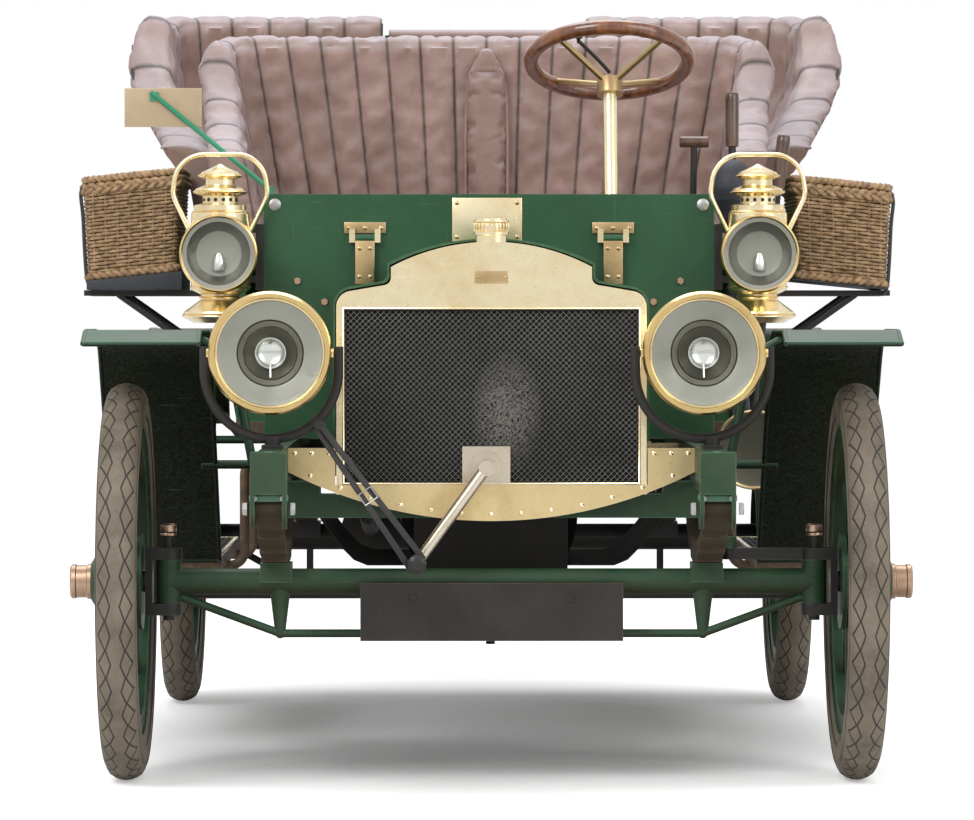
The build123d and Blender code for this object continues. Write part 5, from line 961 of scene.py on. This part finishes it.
# %% Radiator trim
corners = [at(-OPENING_X, -1, OPENING_LOW), at(OPENING_X, -1, OPENING_LOW),
           at(OPENING_X, -1, OPENING_HIGH), at(-OPENING_X, -1, OPENING_HIGH)]
settle(bent_wire(corners, 3.2, closed=True, smooth=False), "radiator_opening_bead", brass)
badge = joined([plate((-32, 32), (-2.5, 0.5), (953, 977), 1.0),
                fasteners([at(x, -2.5, 965) for x in (-27, 27)], FORWARD, 2.2, 1.4)])
settle(badge, "radiator_badge_plate", old_brass)
cap = aimed(ring_by_ring([(0, 0), (28, 0), (34, 2), (34, 8), (31, 10), (31, 24), (34, 26), (34, 30),
                          (24, 33),
                          (9, 35), (0, 35)]), at(0, 46, 1045), UP)
ribs = [aimed(plate((-1.6, 1.6), (1081, 1084.5), (-7, 7), 0.8), (0, 0, 0), UP) for _ in range(24)]
for index, rib in enumerate(ribs):
    rib.data.transform(Matrix.Translation(at(0, 46, 1062)) @ Matrix.Rotation(index * pi / 12, 4, "Z"))
settle(joined([cap] + ribs), "radiator_filler_cap", brass)
APRON_RADIUS = (390 ** 2 + 94 ** 2) / (2 * 94)
rivets = []
for index in range(-6, 7):
    x = index * 58
    rivets.append(at(x, -4, 497 + APRON_RADIUS - (APRON_RADIUS ** 2 - x ** 2) ** 0.5 + 13))
rivets += [at(side * x, -4, 627) for side in SIDES for x in (312, 345, 378)]
settle(fasteners(rivets, FORWARD, 4.5, 2.6), "apron_rivets", brass)
print("radiator trim: badge, cap with", len(ribs), "ribs and", len(rivets), "rivets")

# %% [markdown]
# ## Lamps
# A headlamp has a rolled gold rim, a pale reflector in two steps and a small burner behind its glass. The
# reflector's outer ring, cup and centre take mid grey, dark grey and bright silver, a painted reflection.
# The rings are turned shapes: a circle extruded and scaled along a profile. The oil side lamps get the same
# treatment at their own size, with vent holes round the chimney.

# %% Headlamps
RIM_RING = [(98, 79), (99, 86), (104, 92), (111, 92), (115.5, 86), (116, 76), (110, 70), (102, 72),
            (98, 79)]
OUTER_MIRROR = [(97.5, 76), (92, 75), (63, 68)]
INNER_CUP = [(63, 68), (60, 63), (51, 61), (49, 64), (47, 60), (30, 46)]
CENTRE_MIRROR = [(30, 46), (29, 51), (27, 51), (25, 47), (14, 42), (0, 40)]
STEM = ((-0.049, -0.022), (-0.056, -0.036), (-0.058, -0.056))
for name, x in (("right", -415), ("left", 395)):
    centre = at(x, -215, 821)
    bands = [ring_by_ring([(r - 3, h - 3), (r, h - 3), (r + 2.5, h), (r, h + 3), (r - 3, h + 3)], 64)
             for r, h in ((106, 55), (106, -38), (91, -74))]
    button = ring_by_ring([(18, -97), (18, -104), (11, -108), (11, -116), (0, -117)], 24)
    turned = [aimed(ring, centre, FORWARD) for ring in [ring_by_ring(RIM_RING, 72), button] + bands]
    clasps = [plate((x + side * 113, x + side * 119), (-300, -286), (813, 829), 2) for side in SIDES]
    settle(joined(turned + clasps), f"headlamp_rim_{name}", lamp_brass)
    # Mid grey, dark grey and bright silver paint the reflection in the outer ring, cup and centre.
    for profile, kind, finish in ((OUTER_MIRROR, "outer_mirror", grey_silver),
                                  (INNER_CUP, "cup", dark_silver),
                                  (CENTRE_MIRROR, "centre_mirror", silver)):
        settle(lathe(profile, 72, centre, FORWARD), f"headlamp_{kind}_{name}", finish)
    stem = bent_wire([centre + Vector((0, y, z)) for y, z in STEM], 2.6)
    settle(stem, f"headlamp_burner_{name}", silver)
print("headlamps dressed")

# %% [markdown]
# ## Side lamps
# Each side lamp has a thin bezel, a ring and cup whose grey silver is a painted reflection, a burner, bands
# round its body and vent holes.

# %% Side lamps
BEZEL = [(73, 84), (73.5, 89), (76, 91), (79, 89), (80.5, 82), (79, 72), (74, 72), (73, 84)]
LENS_RING = [(73.5, 87.4), (65, 86.4), (60, 80), (46, 66)]
OIL_CUP = [(46, 66), (40, 65), (24, 64), (0, 63.5)]
OIL_BURNER = [(13, -34), (14, -22), (12, -8), (7, 2), (0, 5)]
LAMP_BANDS = ((76, 893), (41, 930), (56, 1104), (54, 1145), (44, 1178), (60, 950))
for name, side in reversed(LEFT_RIGHT):
    x = side * 551
    centre = at(x, 690, 1018)
    bands = [lathe([(r - 4, -3), (r, -3), (r + 3, 0), (r, 3), (r - 4, 3)], 48, at(x, 690, z), UP)
             for r, z in LAMP_BANDS]
    bezel = joined([lathe(BEZEL, 64, centre, FORWARD)] + bands)
    settle(bezel, f"side_lamp_bezel_{name}", lamp_brass)
    # The ring and cup are grey silver: a painted reflection.
    settle(lathe(LENS_RING, 64, centre, FORWARD), f"side_lamp_ring_{name}", grey_silver)
    settle(lathe(OIL_CUP, 64, centre, FORWARD), f"side_lamp_cup_{name}", grey_silver)
    burner = lathe(OIL_BURNER, 24, centre + Vector((0, -0.066, 0)), UP)
    settle(burner, f"side_lamp_burner_{name}", silver)
    vents = []
    for index in range(14):
        turn = index * 2 * pi / 14
        outward = Vector((cos(turn), sin(turn), 0))
        vent = ring_by_ring([(4, -1), (4, 0.6), (0, 0.7)], 10)
        vents.append(aimed(vent, at(x, 690, 1129) + outward * 0.036, outward))
    settle(joined(vents), f"side_lamp_vents_{name}", black_iron)
print("side lamps dressed")

# %% [markdown]
# ## Tyres
# The tyres have a shallow zigzag tread, worn nearly smooth, with raised ribs on the walls. The carcass is
# a turned ring. Its tread is cut by the finish: a UV map runs round the axle in tread pitches and across
# it in millimetres, and the rubber dips along zigzag lines drawn in those coordinates and is darkened
# there as painted shade.

# %% Tyre with tread
CARCASS = [(300.5, -29), (312, -34), (326, -37), (340, -38), (352, -37), (362, -34), (370, -29), (376, -20),
           (379.5, -10), (380.8, 0)]
TREAD_PITCHES = 42

half_round = CARCASS + [(radius, -height) for radius, height in CARCASS[-2::-1]]
carcass = ring_by_ring(half_round + half_round[:1], 120)
ribs = [ring_by_ring([(r - 2, h - 1), (r, h - 0.6), (r + 2, h), (r, h + 0.6), (r - 2, h + 1)], 96)
        for r, h in ((318, 36), (318, -36), (352, 37.3), (352, -37.3))]
first_tyre = joined([carcass] + ribs)
unrolled = first_tyre.data.uv_layers.new(name="tread")
for face in first_tyre.data.polygons:
    middle = atan2(face.center.y, face.center.x)
    for loop in face.loop_indices:
        co = first_tyre.data.vertices[first_tyre.data.loops[loop].vertex_index].co
        turn = atan2(co.y, co.x)
        turn += 2 * pi * round((middle - turn) / (2 * pi))
        outer = hypot(co.x, co.y) > 0.35
        unrolled.data[loop].uv = (turn / (2 * pi) * TREAD_PITCHES, co.z * 1000 if outer else 60)
for name, side, behind in WHEELS:
    tyre = aimed(copied(first_tyre), at(side * WHEEL_X, behind, WHEEL_RADIUS), (side, 0, 0))
    settle(tyre, f"treaded_tyre_{name}", tyre_rubber, f"wheel_{name}", angle=35)
    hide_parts(f"tyre_{name}")
bpy.data.objects.remove(first_tyre)
print("tyres:", sum(len(face.vertices) - 2 for face in tyre.data.polygons), "triangles each")

# %% [markdown]
# ## Wheels
# Bolts hold the hub flanges, a coppery cap covers each axle end, and a brass valve stands on every rim.
# One wheel's fittings are made about the axle and copied to the four wheels.

# %% Wheel fittings
HUB_CAP = [(30.6, 66), (34, 68), (34, 75), (31.2, 77), (31.2, 96), (33, 98), (33, 105), (30, 107.8),
           (12, 107.8), (0, 107.8)]
GREASER = [(9, 0), (15.6, 1), (15.6, 5), (14, 7), (15.6, 9), (15.6, 21), (12, 23.5), (0, 24)]
hub_cap = ring_by_ring(HUB_CAP, 40)
turns = [index * pi / 3 + pi / 12 for index in range(6)]
hub_bolts = fasteners([Vector((cos(turn) * 0.076, sin(turn) * 0.076, 0.031)) for turn in turns], UP,
                      8, 7, 6)
valve = lathe([(4, 0), (4, 22), (5, 22), (5, 34), (0, 35)], 12, Vector((0.262, 0, 0)), (-1, 0, 0))
for name, side, behind in WHEELS:
    for source, kind, finish in ((hub_cap, "hub_cap", bronze), (hub_bolts, "hub_bolts", black_iron),
                                 (valve, "valve", brass)):
        piece = aimed(copied(source), at(side * WHEEL_X, behind, WHEEL_RADIUS), (side, 0, 0))
        settle(piece, f"{kind}_{name}", finish, f"wheel_{name}")
for source in (hub_cap, hub_bolts, valve):
    bpy.data.objects.remove(source)
for name, side in LEFT_RIGHT:
    greaser = lathe(GREASER, 20, at(side * 620, 0, 468.5), UP)
    settle(greaser, f"kingpin_greaser_{name}", bronze, f"knuckle_{name}")
print("wheel fittings on four wheels")

# %% [markdown]
# ## Wicker baskets
# Each basket is randing: rods of willow pass in front of one stake and behind the next, and every row
# swaps. A plait of three strands closes the top, a twist of two finishes the foot, and the lid is woven
# flat with a slight dome. Weaving is drawn as curves in one curve object, turned into a mesh, then
# sheared, because the baskets lean outwards a little. A dark sheet lines the weave from behind as painted
# shade, so that gaps between the rods read as depth.

# %% Basket weaving
BASKET_X, BASKET_STATION = 768, 1453
BASKET_HALF_X, BASKET_HALF_Y, BASKET_ROUND = 102, 177, 18
STAKES, POINTS_PER_STAKE = 42, 4
WEAVE_ROWS, WEAVE_PITCH = 23, 7.9
PLAIT_HEIGHT, LID_HEIGHT = 199, 219
BASKET_LEAN = 0.1
shake = Random(11)


def basket_edge(part, inset, push, z):
    """Place on the basket's rounded outline, pushed outwards; part runs 0 to 1 round it."""
    half_x, half_y = BASKET_HALF_X - inset, BASKET_HALF_Y - inset
    walk = part % 1 * 4 * (half_x + half_y)
    corners = [(-half_x, -half_y), (half_x, -half_y), (half_x, half_y), (-half_x, half_y)]
    for start, end in zip(corners, corners[1:] + corners[:1]):
        length = abs(end[0] - start[0]) + abs(end[1] - start[1])
        if walk <= length:
            break
        walk -= length
    x = start[0] + (end[0] - start[0]) * walk / length
    y = start[1] + (end[1] - start[1]) * walk / length
    core = Vector((min(max(x, BASKET_ROUND - half_x), half_x - BASKET_ROUND),
                   min(max(y, BASKET_ROUND - half_y), half_y - BASKET_ROUND)))
    out = (Vector((x, y)) - core).normalized() * (BASKET_ROUND + push)
    return at(BASKET_X + core.x + out.x, BASKET_STATION + core.y + out.y, z)


def plaited(count, turns, wide, deep, radius, z, push, points=200):
    """Strands that cross one another round the outline: a plait for three, a twist for two."""
    runs = []
    for strand in range(count):
        run = []
        for index in range(points):
            angle = 2 * pi * (turns * index / points + strand / count)
            thick = sin(2 * angle) if count == 3 else cos(angle)
            run.append(basket_edge(index / points, 0, push + deep * thick, z + wide * sin(angle)))
        runs.append(run)
    return strands(runs, radius, True, 2)


rows = []
for row in range(WEAVE_ROWS):
    height = 20 + row * WEAVE_PITCH
    inset = 9 * (1 - height / 200)
    count = STAKES * POINTS_PER_STAKE
    rows.append([basket_edge(index / count, inset, 2.6 * cos(pi * (index / POINTS_PER_STAKE + row)),
                             height + shake.uniform(-0.5, 0.5)) for index in range(count)])
stakes = [[basket_edge((index + 0.02) / STAKES, inset, -0.5, z) for inset, z in ((9, 4), (0, 196))]
          for index in range(STAKES)]
weave = joined([strands(rows, 3.7, True, 1), strands(stakes, 2.4, False, 1),
                plaited(2, 34, 4.5, 4.0, 5.5, 10, -6), plaited(3, 19, 8.0, 4.0, 5.6, PLAIT_HEIGHT, 3)])
# Dark box inside the weave: painted shade for the gaps between the rods.
shade_liner = plate((BASKET_X - 92, BASKET_X + 92), (BASKET_STATION - 167, BASKET_STATION + 167), (3, 200),
              bevel=8)
bpy.ops.object.mode_set(mode="EDIT")
bpy.ops.mesh.select_all(action="DESELECT")
bpy.ops.object.mode_set(mode="OBJECT")
for face in shade_liner.data.polygons:
    face.select = face.normal.z > 0.9
bpy.ops.object.mode_set(mode="EDIT")
bpy.ops.mesh.delete(type="FACE")
bpy.ops.object.mode_set(mode="OBJECT")
apply_modifier(shade_liner, "SOLIDIFY", thickness=0.003, offset=-1)

lid_rows = []
for row in range(32):
    behind = -167 + row * 334 / 31
    run = []
    for index in range(33):
        across = -102 + index * 204 / 32
        dome = 7 * (1 - (across / 104) ** 2) * (1 - (behind / 172) ** 2)
        wave = 2.4 * cos(pi * (index / 4 + row))
        run.append(at(BASKET_X + across, BASKET_STATION + behind,
                      LID_HEIGHT + dome + wave + shake.uniform(-0.5, 0.5)))
    lid_rows.append(run)
lid_weave = joined([strands(lid_rows, 4.9, False, 1), plaited(2, 44, 4.2, 3.6, 5.0, LID_HEIGHT, 1)])
lid_board = plate((BASKET_X - 98, BASKET_X + 98), (BASKET_STATION - 166, BASKET_STATION + 166),
                  (LID_HEIGHT - 5, LID_HEIGHT - 1), bevel=1)
print("weave:", len(weave.data.polygons), "lid:", len(lid_weave.data.polygons), "faces")

# %% [markdown]
# ## Placing the baskets
# The woven pieces are copied to both sides, lifted to their foot, sheared and mirrored. The lids ride on
# their own bodies, and a leather strap runs down the outer end.

# %% Baskets on both sides
# columns: name, side of the car, height of the basket's foot at its outer end
BASKETS = (("left", 1, 950), ("right", -1, 966))
STRAP_STATION = 1288
# columns: X, height above the basket's foot
STRAP_ROUTE = ((868, 214), (879, 203), (880, 180), (874, 150), (872, 80), (868, 20), (866, -2), (858, -12))
for name, side, foot in BASKETS:
    lid = f"basket_lid_{name}"
    # columns: source, kind, finish, body, node that it stands for
    for source, kind, finish, body, node_name in (
            (weave, "basket_weave", wicker, "chassis", "baskets" if name == "left" else None),
            (shade_liner, "basket_shade_liner", strap_leather, "chassis", None),
            (lid_weave, "basket_lid_weave", wicker, lid, lid),
            (lid_board, "basket_lid_board", strap_leather, lid, None)):
        piece = copied(source, (0, 0, foot * MM))
        for vertex in piece.data.vertices:
            vertex.co.z += BASKET_LEAN * (0.870 - vertex.co.x)
        if side < 0:
            piece.data.transform(Matrix.Scale(-1, 4, (1, 0, 0)))
            piece.data.flip_normals()
        settle(piece, f"{kind}_{name}", finish, body, angle=60)
        if node_name:
            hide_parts(node_name)
    board = plate((side * 660, side * 866), (1274, 1632), (948.2, foot + 2), bevel=1)
    for vertex in board.data.vertices:
        if vertex.co.z > (foot - 4) * MM:
            vertex.co.z += BASKET_LEAN * (0.870 - abs(vertex.co.x))
    settle(board, f"basket_board_{name}", black_rubber)
    strap = [at(side * x, STRAP_STATION, foot + z) for x, z in STRAP_ROUTE]
    settle(bent_wire(strap, 4.2), f"basket_strap_{name}", strap_leather, angle=60)
for source in (weave, shade_liner, lid_weave, lid_board):
    bpy.data.objects.remove(source)
print("baskets on both sides")

# %% [markdown]
# ## Cushions and pads
# The cushions are boxes of hide with sewn channels on top, the rear door carries a pleated pad, and a
# stuffed roll divides the front seat. Each starts as a plain block, is remeshed into an even skin, gets
# its channels, and is then swelled by the same cloth simulation, held along its seams.

# %% Stuffed pads
PAD_PITCH = 74


def stuffed_pad(piece, facing, voxel, depth, rest_x=0):
    """Even skin over a block, with channels across X on the facing side, swelled between its seams."""
    apply_modifier(piece, "REMESH", mode="VOXEL", voxel_size=voxel * MM)
    apply_modifier(piece, "SMOOTH", factor=0.6, iterations=6)
    seams, sewn = [], []
    normals = [vertex.normal.copy() for vertex in piece.data.vertices]
    for vertex, normal in zip(piece.data.vertices, normals):
        shown = max(normal.dot(Vector(facing)), 0)
        phase = ((vertex.co.x * 1000 - rest_x) / PAD_PITCH) % 1 if depth else 0.5
        away = min(phase, 1 - phase) * PAD_PITCH
        # Closeness to a seam on the facing side, which the leather finish turns into painted shade.
        seams.append(exp(-(away / 6) ** 2) * shown ** 0.5)
        if (shown > 0.5 and away < voxel * 0.6) or shown == 0:
            sewn.append(vertex.index)
        bulge = (4 * phase * (1 - phase)) ** 0.6
        vertex.co += Vector(facing) * shown * (bulge * depth - 2) * MM
    mark_seams(piece, seams)
    swell(piece, sewn, 4.0, 7)
    return piece


cushions = copied(nodes["seat_cushions"])
close_mesh(cushions)
settle(stuffed_pad(cushions, UP, 10, 12, 37), "stuffed_seat_cushions", seat_leather, angle=60)
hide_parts("seat_cushions")

door_pad = stuffed_pad(plate((-224, 224), (2478, 2489.6), (905, 1556), bevel=5), FORWARD, 6, 10, 37)
settle(door_pad, "rear_door_pad", seat_leather, "rear_door", angle=60)
door_roll = bent_wire([at(x, 2500, 1563) for x in (-228, -110, 0, 110, 228)], 15, sides=5)
settle(door_roll, "rear_door_roll", seat_leather, "rear_door", angle=60)

divider = plate((-46, 46), (1545, 1578), (1058, 1484), bevel=9)
apply_modifier(divider, "SUBSURF", subdivision_type="SIMPLE", levels=3)
for vertex in divider.data.vertices:
    narrow = max(vertex.co.z - 1.40, 0) / 0.084
    vertex.co.x *= 1 - 0.8 * narrow ** 1.5
stuffed_pad(divider, FORWARD, 6, 0)
settle(divider, "seat_divider", seat_leather, angle=60)
piping_route = [(-46, 1062), (-47, 1250), (-46, 1380), (-34, 1440), (0, 1487), (34, 1440), (46, 1380),
                (47, 1250), (46, 1062)]
piping = bent_wire([at(x, 1562 - 0.02 * (1487 - z), z) for x, z in piping_route], 4.5)
settle(piping, "seat_divider_piping", seat_leather, angle=60)
print("cushions:", len(cushions.data.vertices), "door pad:", len(door_pad.data.vertices), "points")

# %% [markdown]
# ## Dash, bonnet and plate fittings
# The dash carries a blank brass plate and two grey plugs, the bonnet's straps are faced with brass, and
# bolts hold the number plate. These are thin bevelled plates with small fasteners.

# %% Dash, bonnet and plate fittings
settle(plate((-76, 68), (716.5, 719.8), (1044, 1134), bevel=1.2), "dash_plate", brass)
corners = [at(x, 716.6, z) for x in (-66, 58) for z in (1054, 1124)]
settle(fasteners(corners, FORWARD, 5, 2.5), "dash_plate_screws", old_brass)
plugs = fasteners([at(side * 440, 719.9, 1120) for side in SIDES], FORWARD, 13, 4, 20)
settle(plugs, "dash_plugs", pewter)
for name, side in LEFT_RIGHT:
    strap = plate((side * 235, side * 275), (702, 705.5), (956, 1046), bevel=1.2)
    studs = fasteners([at(side * x, 702.1, z) for x in (244, 266) for z in (972, 1030)], FORWARD, 4.5,
                      2.5)
    settle(joined([strap, studs]), f"bonnet_strap_{name}", old_brass, "bonnet")
    leaf = plate((side * 212, side * 298), (714, 715.8), (1061, 1084), bevel=0.8)
    pins = fasteners([at(side * x, 714.1, 1072) for x in (222, 255, 288)], FORWARD, 5, 3)
    settle(joined([leaf, pins]), f"hinge_leaf_{name}", old_brass)
plate_bolts = fasteners([at(x, -68, 352) for x in (-150, 150)], FORWARD, 8, 5, 6)
settle(plate_bolts, "number_plate_bolts", black_iron)
print("dash, bonnet and plate fittings made")

# %% [markdown]
# ## Fender edges and running boards
# Each fender's sheet is rolled round a wire at both edges. The wire follows the same straight runs and
# bends as the sheet. The running boards carry ribbed rubber mats framed by brass edging.

# %% Fender edges and running boards
# columns: station, height
FRONT_SWEEP = ((-222, 838), (-150, 861), (230, 861), (530, 560), (690, 391))
REAR_SWEEP = ((1624, 403), (1700, 520), (1860, 861), (2330, 861), (2500, 640))


def swept_edge(route, bends, steps=10):
    """Stations and heights along straight runs joined by arcs."""
    corners = [Vector(place) for place in route]
    places = [corners[0]]
    for before, corner, after, bend in zip(corners, corners[1:], corners[2:], bends):
        inward, outward = (before - corner).normalized(), (after - corner).normalized()
        half = inward.angle(outward) / 2
        centre = corner + (inward + outward).normalized() * bend / sin(half)
        first = corner + inward * bend / tan(half) - centre
        last = corner + outward * bend / tan(half) - centre
        for step in range(steps + 1):
            spoke = first.lerp(last, step / steps).normalized() * bend
            places.append(centre + spoke)
    return places + [corners[-1]]


# columns: kind, route, bends, inner X, outer X
for kind, route, bends, inner, outer in (("front", FRONT_SWEEP, (60, 220, 200), 553, 769),
                                         ("rear", REAR_SWEEP, (60, 220, 180), 613, 769)):
    for name, side in LEFT_RIGHT:
        path = swept_edge(route, bends)
        wires = [bent_wire([at(side * x, s, z) for s, z in path], 5, sides=2, smooth=False)
                 for x in (inner, outer)]
        ends = [bent_wire([at(side * x, *place) for x in (inner, outer)], 5, sides=2, smooth=False)
                for place in (path[0], path[-1])]
        settle(joined(wires + ends), f"{kind}_fender_edge_{name}", fender_green, angle=60)
for name, side in LEFT_RIGHT:
    mat = plate((side * 562, side * 755), (706, 1608), (395.1, 397), bevel=0.6)
    ribs = [plate((side * x, side * (x + 5)), (712, 1602), (396, 399.5), bevel=1)
            for x in range(570, 750, 13)]
    settle(joined([mat] + ribs), f"board_mat_{name}", black_rubber)
    edging = [plate((side * x, side * (x + 9)), (698, 1616), (394, 401), bevel=1.5) for x in (552, 756)]
    edging += [plate((side * 552, side * 765), (s, s + 9), (394, 401), bevel=1.5) for s in (697, 1608)]
    settle(joined(edging), f"board_edging_{name}", brass)
print("fender edges, mats and edging made")

# %% [markdown]
# ## Mirror, levers and handles
# The mirror's back is a tan board on a green rod, with silvered glass behind. The hand levers have turned
# wooden grips with metal ends, the steering wheel a small spark lever, and the rear door a brass handle.

# %% Mirror, levers and handles
mirror_tan = painted("mirror_tan", (0.40, 0.30, 0.19), (0.50, 0.40, 0.27), (0.58, 0.50, 0.38),
                     (0.25, 0.18, 0.11), 0.3, 0.6, 0.1)
rod_green = painted("rod_green", (0.012, 0.215, 0.105), (0.035, 0.28, 0.15), (0.20, 0.42, 0.30),
                    (0.02, 0.06, 0.03), 0.3, 0.4, 0.5)
SLOT_OF_FINISH.update({mirror_tan.name: "wicker", rod_green.name: "body_green"})
for slot in nodes["mirror"].material_slots:
    slot.material = rod_green
settle(plate((-750, -591), (737.2, 738.9), (1280, 1360), bevel=0.8), "mirror_board", mirror_tan)
settle(plate((-745, -596), (749.1, 750.6), (1285, 1355), bevel=0.7), "mirror_glass", silver)

LEVER_GRIP = [(9, -114), (13.6, -113), (14, -100), (14.6, -12), (14.2, -1), (12, 1.5), (0, 2)]
# columns: foot X, top X, top station, top height
LEVERS = ((521, 521, 1120, 1366), (552, 631, 1110, 1275))
for index, (foot_x, top_x, top_station, top) in enumerate(LEVERS, 1):
    head = at(top_x, top_station, top)
    along = (head - at(foot_x, 1100, 585)).normalized()
    settle(lathe(LEVER_GRIP, 20, head, along), f"lever_grip_{index}", lever_wood)
HOOD_KNOB = [(7, -6), (7, 6), (6, 10), (9, 14), (12, 20), (11, 25), (0, 26)]
for name, side in LEFT_RIGHT:
    settle(lathe(HOOD_KNOB, 20, at(side * 804, 2283, 1519), (side, 0, 0)), f"hood_knob_{name}", black_iron)

HORN_MOUTH = at(550, 800, 614)
# columns: name, finish, points round, centre, axis, profile
TURNED_PIECES = (
    ("gear_handle_bar", lever_wood, 20, at(439, 1100, 1262), (1, 0, 0),
     [(0, -31), (10, -31), (12, -29), (12, 29), (10, 31), (0, 31)]),
    ("smooth_horn_bulb", black_rubber, 40, at(515, 998.4, 1156), UP,
     [(14, -76), (17, -70), (24, -52), (36, -32), (45, -14), (50, 2), (50, 12), (46.5, 30), (39, 44),
      (28, 56.5), (14, 64), (0, 66.5)]),
    ("horn_gauze", dark_silver, 48, HORN_MOUTH, BACKWARD, [(76.5, 3), (70, 5), (0, 9)]),
    ("horn_rim", old_brass, 48, HORN_MOUTH, BACKWARD,
     [(76, -3), (80, -5), (83, -2), (83, 2), (80, 5), (76, 3), (76, -3)]),
)
for name, finish, sides, centre, axis, profile in TURNED_PIECES:
    settle(lathe(profile, sides, centre, axis), name, finish)

spark_route = ((256, 990, 1404), (244, 984, 1420), (212, 978, 1450), (190, 974, 1470))
spark_knob = lathe([(4, -2), (4, 6), (9, 10), (10, 16), (7, 21), (0, 22)], 16, at(190, 974, 1468),
                   (0, -0.38, 0.93))
spark_lever = joined([bent_wire([at(*place) for place in spark_route], 4), spark_knob])
settle(spark_lever, "spark_lever", black_iron, "steering_wheel")
handle_route = ((196, 2538, 1170), (180, 2541, 1170), (130, 2541, 1168), (108, 2540, 1160))
rose = lathe([(24, 0), (24, 3), (20, 6), (8, 7), (8, 12), (0, 12)], 24, at(196, 2530.2, 1170), BACKWARD)
handle = joined([rose, bent_wire([at(*place) for place in handle_route], 6)])
settle(handle, "rear_door_handle", brass, "rear_door")
print("mirror, levers and handles made")

# %% [markdown]
# ## Handle straps, shackles and undershield
# Two dark straps with a buckle tie the starting handle to the lamp fork, one on each side of its grip.
# Each dumb iron carries a pale cast rib with bolts, and a dark trough of sheet iron hangs under the
# engine between the rails, standing for the dark machinery there and painting the shade under the car.

# %% Handle straps, shackles and undershield
FORK_TIE = at(-326, -222, 681)
GRIP_TIE = at(-142, -176, 422)
tie = (GRIP_TIE - FORK_TIE).normalized()
across = Vector((-tie.z, 0, tie.x)).normalized()
bands = []
for side in SIDES:
    top = FORK_TIE + across * side * 5 * MM
    foot = GRIP_TIE + across * side * 15.5 * MM
    half = (foot - top).length / MM / 2
    band = plate((-6, 6), (1048.6, 1051.4), (-half, half), 0.8)
    bands.append(aimed(band, (top + foot) / 2, foot - top))
loop = lathe([(15.4, -7), (18, -7), (18, 7), (15.4, 7), (15.4, -7)], 32, GRIP_TIE, BACKWARD)
along_fork = (0.74, 0, 0.67)
fork_loop = lathe([(11, -9), (15, -9), (15, 9), (11, 9), (11, -9)], 32, at(-329, -215, 690), along_fork)
strap = settle(joined(bands + [loop, fork_loop]), "handle_straps", strap_leather)
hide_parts("crank_strap")
middle = FORK_TIE.lerp(GRIP_TIE, 0.5) + Vector((0, -0.004, 0))
buckle = [middle + across * u * MM + tie * v * MM for u, v in ((-14, -12), (14, -12), (14, 12), (-14, 12))]
settle(bent_wire(buckle, 1.8, closed=True, smooth=False), "strap_buckle", pewter)
HANDLE_BOSS = [(15.2, -4), (17.5, -2), (17.5, 3), (13, 6), (6, 7), (6, 9), (0, 9)]
settle(lathe(HANDLE_BOSS, 28, at(-142, -226, 422), FORWARD), "handle_boss", black_iron)

cast_green = painted("cast_green", (0.07, 0.17, 0.10), (0.11, 0.22, 0.14), (0.26, 0.36, 0.29),
                     (0.04, 0.07, 0.04), 0.5, 0.5, 0.3)
SLOT_OF_FINISH[cast_green.name] = "chassis_green"
for name, side in reversed(LEFT_RIGHT):
    x = side * 413
    rib = plate((x - 10, x + 10), (-432, -416), (562, 641), 4)
    foot = plate((x - 36, x + 36), (-436, -416), (548, 562), 4)
    settle(joined([rib, foot]), f"dumb_iron_casting_{name}", cast_green)
    heads = [fasteners([at(x + turn * 40, -420, 535)], (turn, 0, 0), 13, 9, 6) for turn in SIDES]
    heads.append(fasteners([at(x + shift, -436, 555) for shift in (-26, 26)], FORWARD, 6, 4, 6))
    settle(joined(heads), f"shackle_bolts_{name}", pewter)

# The dark trough is partly painted shade: it fills the shaded space under the engine.
TROUGH_HALF, TROUGH_FLAT, TROUGH_LOW, TROUGH_HIGH = 376, 250, 402, 562
TROUGH_MIDDLE, TROUGH_REACH = 545, 345
alone(floor)
bpy.ops.mesh.primitive_grid_add(x_subdivisions=28, y_subdivisions=6, size=2)
trough = bpy.context.object
for vertex in trough.data.vertices:
    x = vertex.co.x * TROUGH_HALF
    bend = max(abs(x) - TROUGH_FLAT, 0) / (TROUGH_HALF - TROUGH_FLAT)
    z = TROUGH_LOW + (TROUGH_HIGH - TROUGH_LOW) * bend ** 1.4
    vertex.co = at(x, TROUGH_MIDDLE + vertex.co.y * TROUGH_REACH, z)
apply_modifier(trough, "SOLIDIFY", thickness=0.0025, offset=1)
settle(trough, "engine_undershield_shade", engine_iron)
dash_bolts = [at(side * x, 720, z) for side in SIDES for x, z in ((394, 963), (338, 920), (430, 700))]
settle(fasteners(dash_bolts, FORWARD, 8, 5, 6), "dash_bolts", bronze)
print("straps, castings, undershield and", len(dash_bolts), "dash bolts made")
